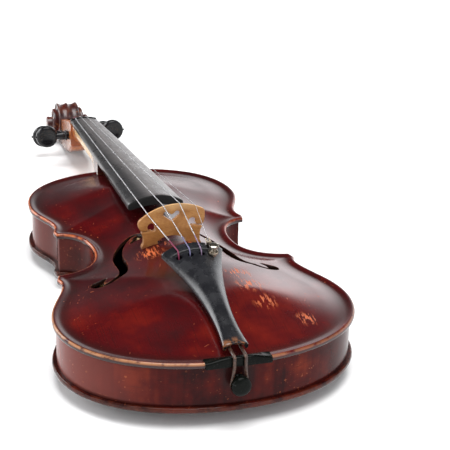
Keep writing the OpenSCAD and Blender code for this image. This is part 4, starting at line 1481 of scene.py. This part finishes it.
def maple_varnish(name, upright=False, red_at=()):
    s = Shader(name)
    clouds = 0.6 * s.noise(16, 3) + 0.4 * s.noise(75, 5)
    flame = s.noise((190, 190, 9) if upright else (22, 260, 22), 2, 0.4, 0, 0.6)
    tone = clouds + 0.22 * (flame - 0.5)
    if red_at:
        tone += 0.14 * s.spots(red_at)
    colour = s.ramp(tone, [(0.32, (0.008, 0.0012, 0.0015)), (0.45, (0.022, 0.0018, 0.002)),
                           (0.58, (0.056, 0.0035, 0.0025)), (0.72, (0.130, 0.014, 0.004))])
    pores = s.noise((90, 90, 800) if upright else (700, 60, 700), 2, 0.5)
    colour = s.mix(s.span(pores, 0.56, 0.70, 0, 0.3), colour, (0.02, 0.005, 0.004))
    marks = s.scratches((700, 50, 35, 0.72, 0.76), (900, 70, -50, 0.72, 0.76))
    if upright:
        # Painted sheen: the ribs turn paler and pinker towards the bass side
        colour = s.mix(s.along("X", -45, -100, 0, 0.75), colour, (0.20, 0.050, 0.040))
        # Painted shade along the top and bottom of the ribs, under the plates' overhanging edges
        shade_by_edges = s.any_of(s.along("Z", rib_z1 - 2.2, rib_z1 - 0.3), s.along("Z", rib_z0 + 2.5, rib_z0 + 0.2))
        colour = s.mix(0.55 * shade_by_edges, colour, (0.016, 0.006, 0.005))
        # Painted shade on the rib round and above the end button, where the gut loop runs
        colour = s.mix(0.7 * s.near(0, 0, button_z + 5, 17, 0.6), colour, (0.015, 0.008, 0.008))
        spots = s.span(s.noise(260, 3, 0.6), 0.66, 0.71)
        bare = s.any_of(spots, marks) * s.span(s.noise(24, 2), 0.46, 0.6, 0.05, 0.35)
    else:
        edge_wear = s.span(s.attribute("rim"), 0.34, 0.08) * s.span(s.noise(150, 4, 0.65), 0.34, 0.56)
        bare = s.any_of(0.07 * edge_wear, 0.3 * marks)
    colour = s.mix(bare, colour, (0.48, 0.13, 0.045))
    rough = (s.span(clouds, 0.3, 0.7, 0.24, 0.15) + 0.25 * bare).capped()
    height = s.noise(85, 3) + 0.3 * pores
    return s.finish(colour, rough, height, 0.00014, 0.4, Specular_IOR_Level=0.10 if upright else 0.2)


def neck_varnish():
    s = Shader("neck_varnish")
    clouds = 0.6 * s.noise(40, 3) + 0.4 * s.noise(160, 4)
    # Painted shade low down on the pegbox beyond the nut turns it red there, while its cheeks stay amber near
    # the top; the scroll and the heel are red as well
    low = s.along("Z", 24, 6) * s.along("Y", nut_y - 4, nut_y + 12)
    deep = s.any_of(s.along("Y", nut_y + 52, nut_y + 72), 0.75 * low, s.along("Y", body_l + 34, body_l + 6))
    flame = s.noise((30, 330, 60), 2, 0.4, 0, 0.5)
    amber = s.ramp(clouds + 0.25 * (flame - 0.5),
                   [(0.32, (0.17, 0.030, 0.006)), (0.5, (0.34, 0.085, 0.012)), (0.66, (0.50, 0.18, 0.04))])
    cream = s.ramp(clouds, [(0.32, (0.44, 0.22, 0.08)), (0.5, (0.72, 0.47, 0.23)),
                            (0.66, (0.86, 0.66, 0.42))])
    amber = s.mix(s.along("Y", nut_y - 12, nut_y - 30), amber, cream)
    red = s.ramp(clouds, [(0.34, (0.018, 0.004, 0.004)), (0.52, (0.055, 0.008, 0.006)),
                          (0.68, (0.13, 0.022, 0.009))])
    colour = s.mix((deep + 0.9 * (s.noise(120, 4) - 0.5)).capped(), amber, red)
    pores = s.noise((800, 60, 800), 2, 0.5)
    colour = s.mix(s.span(pores, 0.55, 0.7, 0, 0.25), colour, (0.03, 0.008, 0.005))
    colour = s.mix(0.45 * s.span(s.noise(300, 3, 0.6), 0.62, 0.68), colour, (0.55, 0.20, 0.07))
    height = s.noise(110, 3) + 0.3 * pores
    return s.finish(colour, s.span(clouds, 0.3, 0.7, 0.36, 0.24), height, 0.0002, 0.5,
                    Coat_Weight=0.3, Coat_Roughness=0.2)


def worn_black(name, base, dust_and_sheen, rough_low, rough_high, grain=(60, 900, 300), dust_and_sheen_share=0.35, brown=None,
               board_sheen_and_shade=False, gloss=0.5):
    """Black wood with dust and a painted sheen in patches; brown shows at the tail end, and the fingerboard
    gets a painted sheen over its middle and treble side and painted shade on its end face.
    """
    s = Shader(name)
    fibres = s.noise(grain, 3, 0.6)
    # Dust and a painted sheen, in patches
    colour = s.mix(s.span(s.noise(45, 4, 0.6), 0.35, 0.7, 0, dust_and_sheen_share), base, dust_and_sheen)
    colour = s.mix(s.span(fibres, 0.5, 0.75, 0, 0.4), colour, darker(base))
    marks = s.scratches((1100, 40, 6, 0.68, 0.75), (900, 60, -35, 0.70, 0.76))
    colour = s.mix(0.35 * marks, colour, tuple(min(1, 4 * c + 0.05) for c in base))
    rough = s.span(s.noise(90, 4, 0.6), 0.3, 0.7, rough_low, rough_high)
    if board_sheen_and_shade:
        # Painted sheen over the middle and treble side of the fingerboard, broken up along the grain
        painted_sheen = s.along("X", -11, 1) * s.span(fibres, 0.3, 0.7, 0.6, 0.3)
        colour = s.mix(painted_sheen, colour, (0.21, 0.185, 0.18))
        # Painted shade: the fingerboard's end face is made nearly black and matt
        cut = s.along("Y", board_y0 + 1.3, board_y0 + 0.5)
        colour = s.mix(cut, colour, (0.002, 0.002, 0.002))
        rough = s.any_of(rough, 0.95 * cut)
    if brown:
        worn_end = s.along("Y", 15, 10) * s.span(s.noise(260, 4), 0.38, 0.6)
        colour = s.mix(0.8 * worn_end, colour, brown)
    height = 0.5 * fibres + -0.4 * marks + s.noise(110, 2)
    return s.finish(colour, rough, height, 0.00018, 0.5, Specular_IOR_Level=gloss)


def maple_bare():
    s = Shader("bridge_wood")
    flecks = s.noise((420, 200, 1500), 3, 0.6, 0, 0.3)
    clouds = s.noise(110, 4, 0.6)
    colour = s.ramp(0.6 * clouds + 0.4 * flecks,
                    [(0.34, (0.24, 0.095, 0.022)), (0.5, (0.36, 0.15, 0.036)), (0.66, (0.48, 0.24, 0.07))])
    colour = s.mix(s.span(flecks, 0.62, 0.72, 0, 0.5), colour, (0.16, 0.05, 0.013))
    # Painted shade: the bridge darkens towards its feet, in patches
    low_shade = s.along("Z", apex_z + 6, apex_z - 3) * s.span(s.noise(220, 4), 0.4, 0.62)
    colour = s.mix(0.6 * low_shade, colour, (0.16, 0.04, 0.015))
    top = s.along("Z", bridge_z - 6.5, bridge_z - 0.5)
    colour = s.mix(0.35 * top, colour, (0.80, 0.56, 0.28))
    return s.finish(colour, s.span(clouds, 0.3, 0.7, 0.42, 0.56), flecks, 0.0002, 0.35)


def raw_wood(name, pale, deep):
    s = Shader(name)
    rings = s.noise((650, 9, 650), 3, 0.55)
    clouds = s.noise(30, 3)
    colour = s.mix(s.span(rings, 0.38, 0.66), pale, deep)
    colour = s.mix(s.span(clouds, 0.4, 0.75, 0, 0.4), colour, darker(deep, 0.55))
    return s.finish(colour, s.span(clouds, 0.3, 0.7, 0.62, 0.78), rings, 0.0002, 0.4)


def gut_cord():
    s = Shader("gut_brown")
    twist = s.noise((500, 500, 900), 3, 0.6, 0, 1.0)
    colour = s.ramp(twist, [(0.35, (0.016, 0.006, 0.004)), (0.55, (0.045, 0.018, 0.010)),
                            (0.72, (0.17, 0.085, 0.05))])
    return s.finish(colour, s.span(twist, 0.3, 0.7, 0.30, 0.5), twist, 0.0003, 0.6)


def metal(name, tint, stain, rough_low, rough_high, tarnish):
    s = Shader(name)
    clouds = s.noise(420, 4, 0.65)
    colour = s.mix(s.span(clouds, 0.42, 0.72, 0, tarnish), tint, stain)
    brushed = s.noise((2600, 300, 900), 2, 0.5)
    rough = s.span(clouds, 0.3, 0.7, rough_low, rough_high)
    return s.finish(colour, rough, brushed, 0.00006, 0.4, Metallic=1.0)


def string_metal(name, tint, lines):
    s = Shader(name)
    dull = s.noise(70, 3)
    colour = s.mix(s.span(dull, 0.45, 0.7, 0, 0.5), tint, darker(tint, 0.55))
    rough = s.span(dull, 0.3, 0.7, 0.24, 0.38)
    return s.finish(colour, rough, s.bands(lines, 0.4), 0.00005, 0.5, Metallic=1.0)


def silk(name, tint):
    s = Shader(name)
    fray = s.noise(900, 3)
    colour = s.mix(s.span(fray, 0.35, 0.7), tint, darker(tint))
    return s.finish(colour, s.span(fray, 0.3, 0.7, 0.55, 0.75), s.bands(900, 1.5), 0.0001, 0.6)


# ---------------------------------------------------------------- wear maps kept on the plates
def distance_to_loops(points, loops):
    result = np.full(len(points), 1e3)
    for loop in loops:
        for part in np.array_split(np.arange(len(points)), max(1, len(points) // 4000)):
            gap = np.linalg.norm(points[part][:, None] - loop, axis=2).min(1)
            result[part] = np.minimum(result[part], gap)
    return result


def wear_maps(obj, f_holes):
    """Stores the distance from the edge and from the f-holes, in centimetres, on each vertex."""
    flat = np.empty(len(obj.data.vertices) * 3)
    obj.data.vertices.foreach_get("co", flat)
    points = flat.reshape(-1, 3)[:, :2] / MM - [0, TAIL]
    maps = {"rim": from_edge(*points.T)}
    if f_holes:
        maps["f_edge"] = distance_to_loops(points, [F_LOOP, F_LOOP * [-1, 1]])
    for name, distance in maps.items():
        layer = obj.data.attributes.new(name, "FLOAT", "POINT")
        layer.data.foreach_set("value", distance / 10)


# ---------------------------------------------------------------- put together
belly = top_plate(spruce_varnish())
wear_maps(belly, True)
back = back_plate(maple_varnish("back_varnish"))
wear_maps(back, False)
ribs(maple_varnish("rib_varnish", True, [(-70, 10, 30, 40), (-104, 80, 30, 24), (60, 6, 30, 34),
                                         (-58, 190, 30, 30)]))
neck(neck_varnish())
ebony = worn_black("ebony_board", (0.014, 0.013, 0.014), (0.060, 0.055, 0.053), 0.24, 0.40, (900, 40, 300),
                   board_sheen_and_shade=True)
ebony_fittings = worn_black("ebony_fittings", (0.002, 0.0025, 0.002), (0.005, 0.007, 0.005), 0.18, 0.34,
                            gloss=0.08)
fingerboard(ebony)
nut(ebony_fittings)
saddle(ebony_fittings)
bridge(maple_bare())
tail_black = worn_black("tailpiece_black", (0.008, 0.008, 0.010), (0.024, 0.025, 0.029), 0.20, 0.32,
                        (500, 40, 500), 0.35, (0.22, 0.085, 0.035))
tailpiece(tail_black)
tailpiece_fret(worn_black("fret_black", (0.008, 0.008, 0.009), (0.02, 0.02, 0.022), 0.22, 0.36))
tailgut(gut_cord())
end_button(ebony_fittings)
peg_black = worn_black("peg_black", (0.006, 0.006, 0.007), (0.018, 0.018, 0.020), 0.07, 0.16, dust_and_sheen_share=0.3,
                       gloss=0.28)
for name, node in (("g", "peg_g"), ("d", "peg_d_string"), ("a", "peg_a"), ("e", "peg_e")):
    peg(name, node, peg_black)
wound = string_metal("wound_string_metal", (0.62, 0.62, 0.63), 2200)
plain = string_metal("plain_string_metal", (0.72, 0.72, 0.74), 150)
SILKS = [silk("silk_red", (0.22, 0.02, 0.07)), silk("silk_blue", (0.16, 0.15, 0.28)),
         silk("silk_purple", (0.26, 0.18, 0.28)), silk("silk_none", (0.5, 0.5, 0.5))]
for i in range(4):
    string(i, plain if i == 3 else wound, SILKS[i])
    winding(i, plain if i == 3 else SILKS[i])
fine_tuner(metal("tuner_nickel", (0.42, 0.36, 0.28), (0.10, 0.06, 0.03), 0.22, 0.40, 0.7),
           metal("tuner_bright", (0.52, 0.48, 0.42), (0.16, 0.10, 0.05), 0.16, 0.30, 0.6))

INSIDE = {
    raw_wood("block_spruce", (0.52, 0.33, 0.15), (0.34, 0.18, 0.07)):
        ["upper_block", "lower_block", "corner_blocks", "linings_top", "linings_back"],
    raw_wood("bar_spruce", (0.60, 0.42, 0.22), (0.42, 0.25, 0.11)): ["bass_bar", "sound_post"],
}
for material, names in INSIDE.items():
    for name in names:
        NODES[name].data.materials.clear()
        NODES[name].data.materials.append(material)


# ---------------------------------------------------------------- floor, light and camera
def floor():
    half = 6.0
    mesh = bpy.data.meshes.new("floor")
    corners = [(x, y, 0) for x, y in rectangle(-half, -half, half, half)]
    mesh.from_pydata(corners, [], [(0, 1, 2, 3)])
    s = Shader("floor_white")
    mesh.materials.append(s.finish((0.95, 0.95, 0.95), s.span(s.noise(3, 2), 0.3, 0.7, 0.75, 0.85),
                                   Specular_IOR_Level=0.2))
    new_object("floor", mesh)


def area_light(name, place, target, size, power):
    light = bpy.data.lights.new(name, "AREA")
    light.shape = "RECTANGLE"
    light.size, light.size_y = size
    light.energy = power
    obj = new_object(name, light)
    obj.location = place
    obj.rotation_euler = (Vector(target) - Vector(place)).to_track_quat("-Z", "Y").to_euler()


def world_light():
    """Bright near the horizon behind and to the right, dim overhead, to the left and behind the camera."""
    world = bpy.data.worlds.new("studio")
    g = Graph(world)
    direction = g.node("TexCoord", output="Generated")
    x, y, z = (g.axis(which, direction) for which in "XYZ")
    strength = g.span(x, 0.10, 0.52, 0.12, 1.7) * g.span(z, 0.24, 0.56, 1.5, 0.05)
    strength *= g.span(y, -0.2, 0.3, 0.5, 1.0)
    # A pale window low on the left behind the scroll, then the bright studio behind the camera
    window = g.vector("DOT_PRODUCT", direction, (-0.60, 0.70, 0.38))
    strength += g.span(window, 0.94, 0.985, 0.0, 7.0)
    strength += g.span(y, -0.15, -0.6, 0.0, 0.7)
    background = g.nodes["Background"]
    g.put(strength, background.inputs["Strength"])
    g.put((0.97, 0.98, 1.0), background.inputs["Color"])
    scene.world = world


def camera():
    data = bpy.data.cameras.new("camera")
    data.sensor_width = 36
    data.lens = 108.68
    obj = new_object("camera", data)
    yaw, pitch, roll = (math.radians(a) for a in (17.68, 22.45, 1.78))
    ahead = Vector((math.sin(yaw) * math.cos(pitch), math.cos(yaw) * math.cos(pitch), -math.sin(pitch)))
    right = Vector((math.cos(yaw), -math.sin(yaw), 0))
    up = right.cross(ahead)
    side = right * math.cos(roll) + up * math.sin(roll)
    top = up * math.cos(roll) - right * math.sin(roll)
    turn = Matrix((side, top, -ahead)).transposed()
    place = to_frame([(-240.5, -715.46, 450.6)])[0]
    obj.matrix_world = Matrix.Translation(place) @ turn.to_4x4()
    scene.camera = obj


floor()
world_light()
area_light("key", (0.1, -0.9, 3.0), (0.1, -0.9, 0), (2.0, 2.0), 88)
area_light("top", (0.1, 0.25, 3.0), (0.1, 0.25, 0), (2.4, 1.0), 42)
area_light("left", (-1.7, -0.2, 0.75), (0, 0, 0), (1.2, 1.0), 11)
camera()
scene.view_settings.view_transform = "Standard"
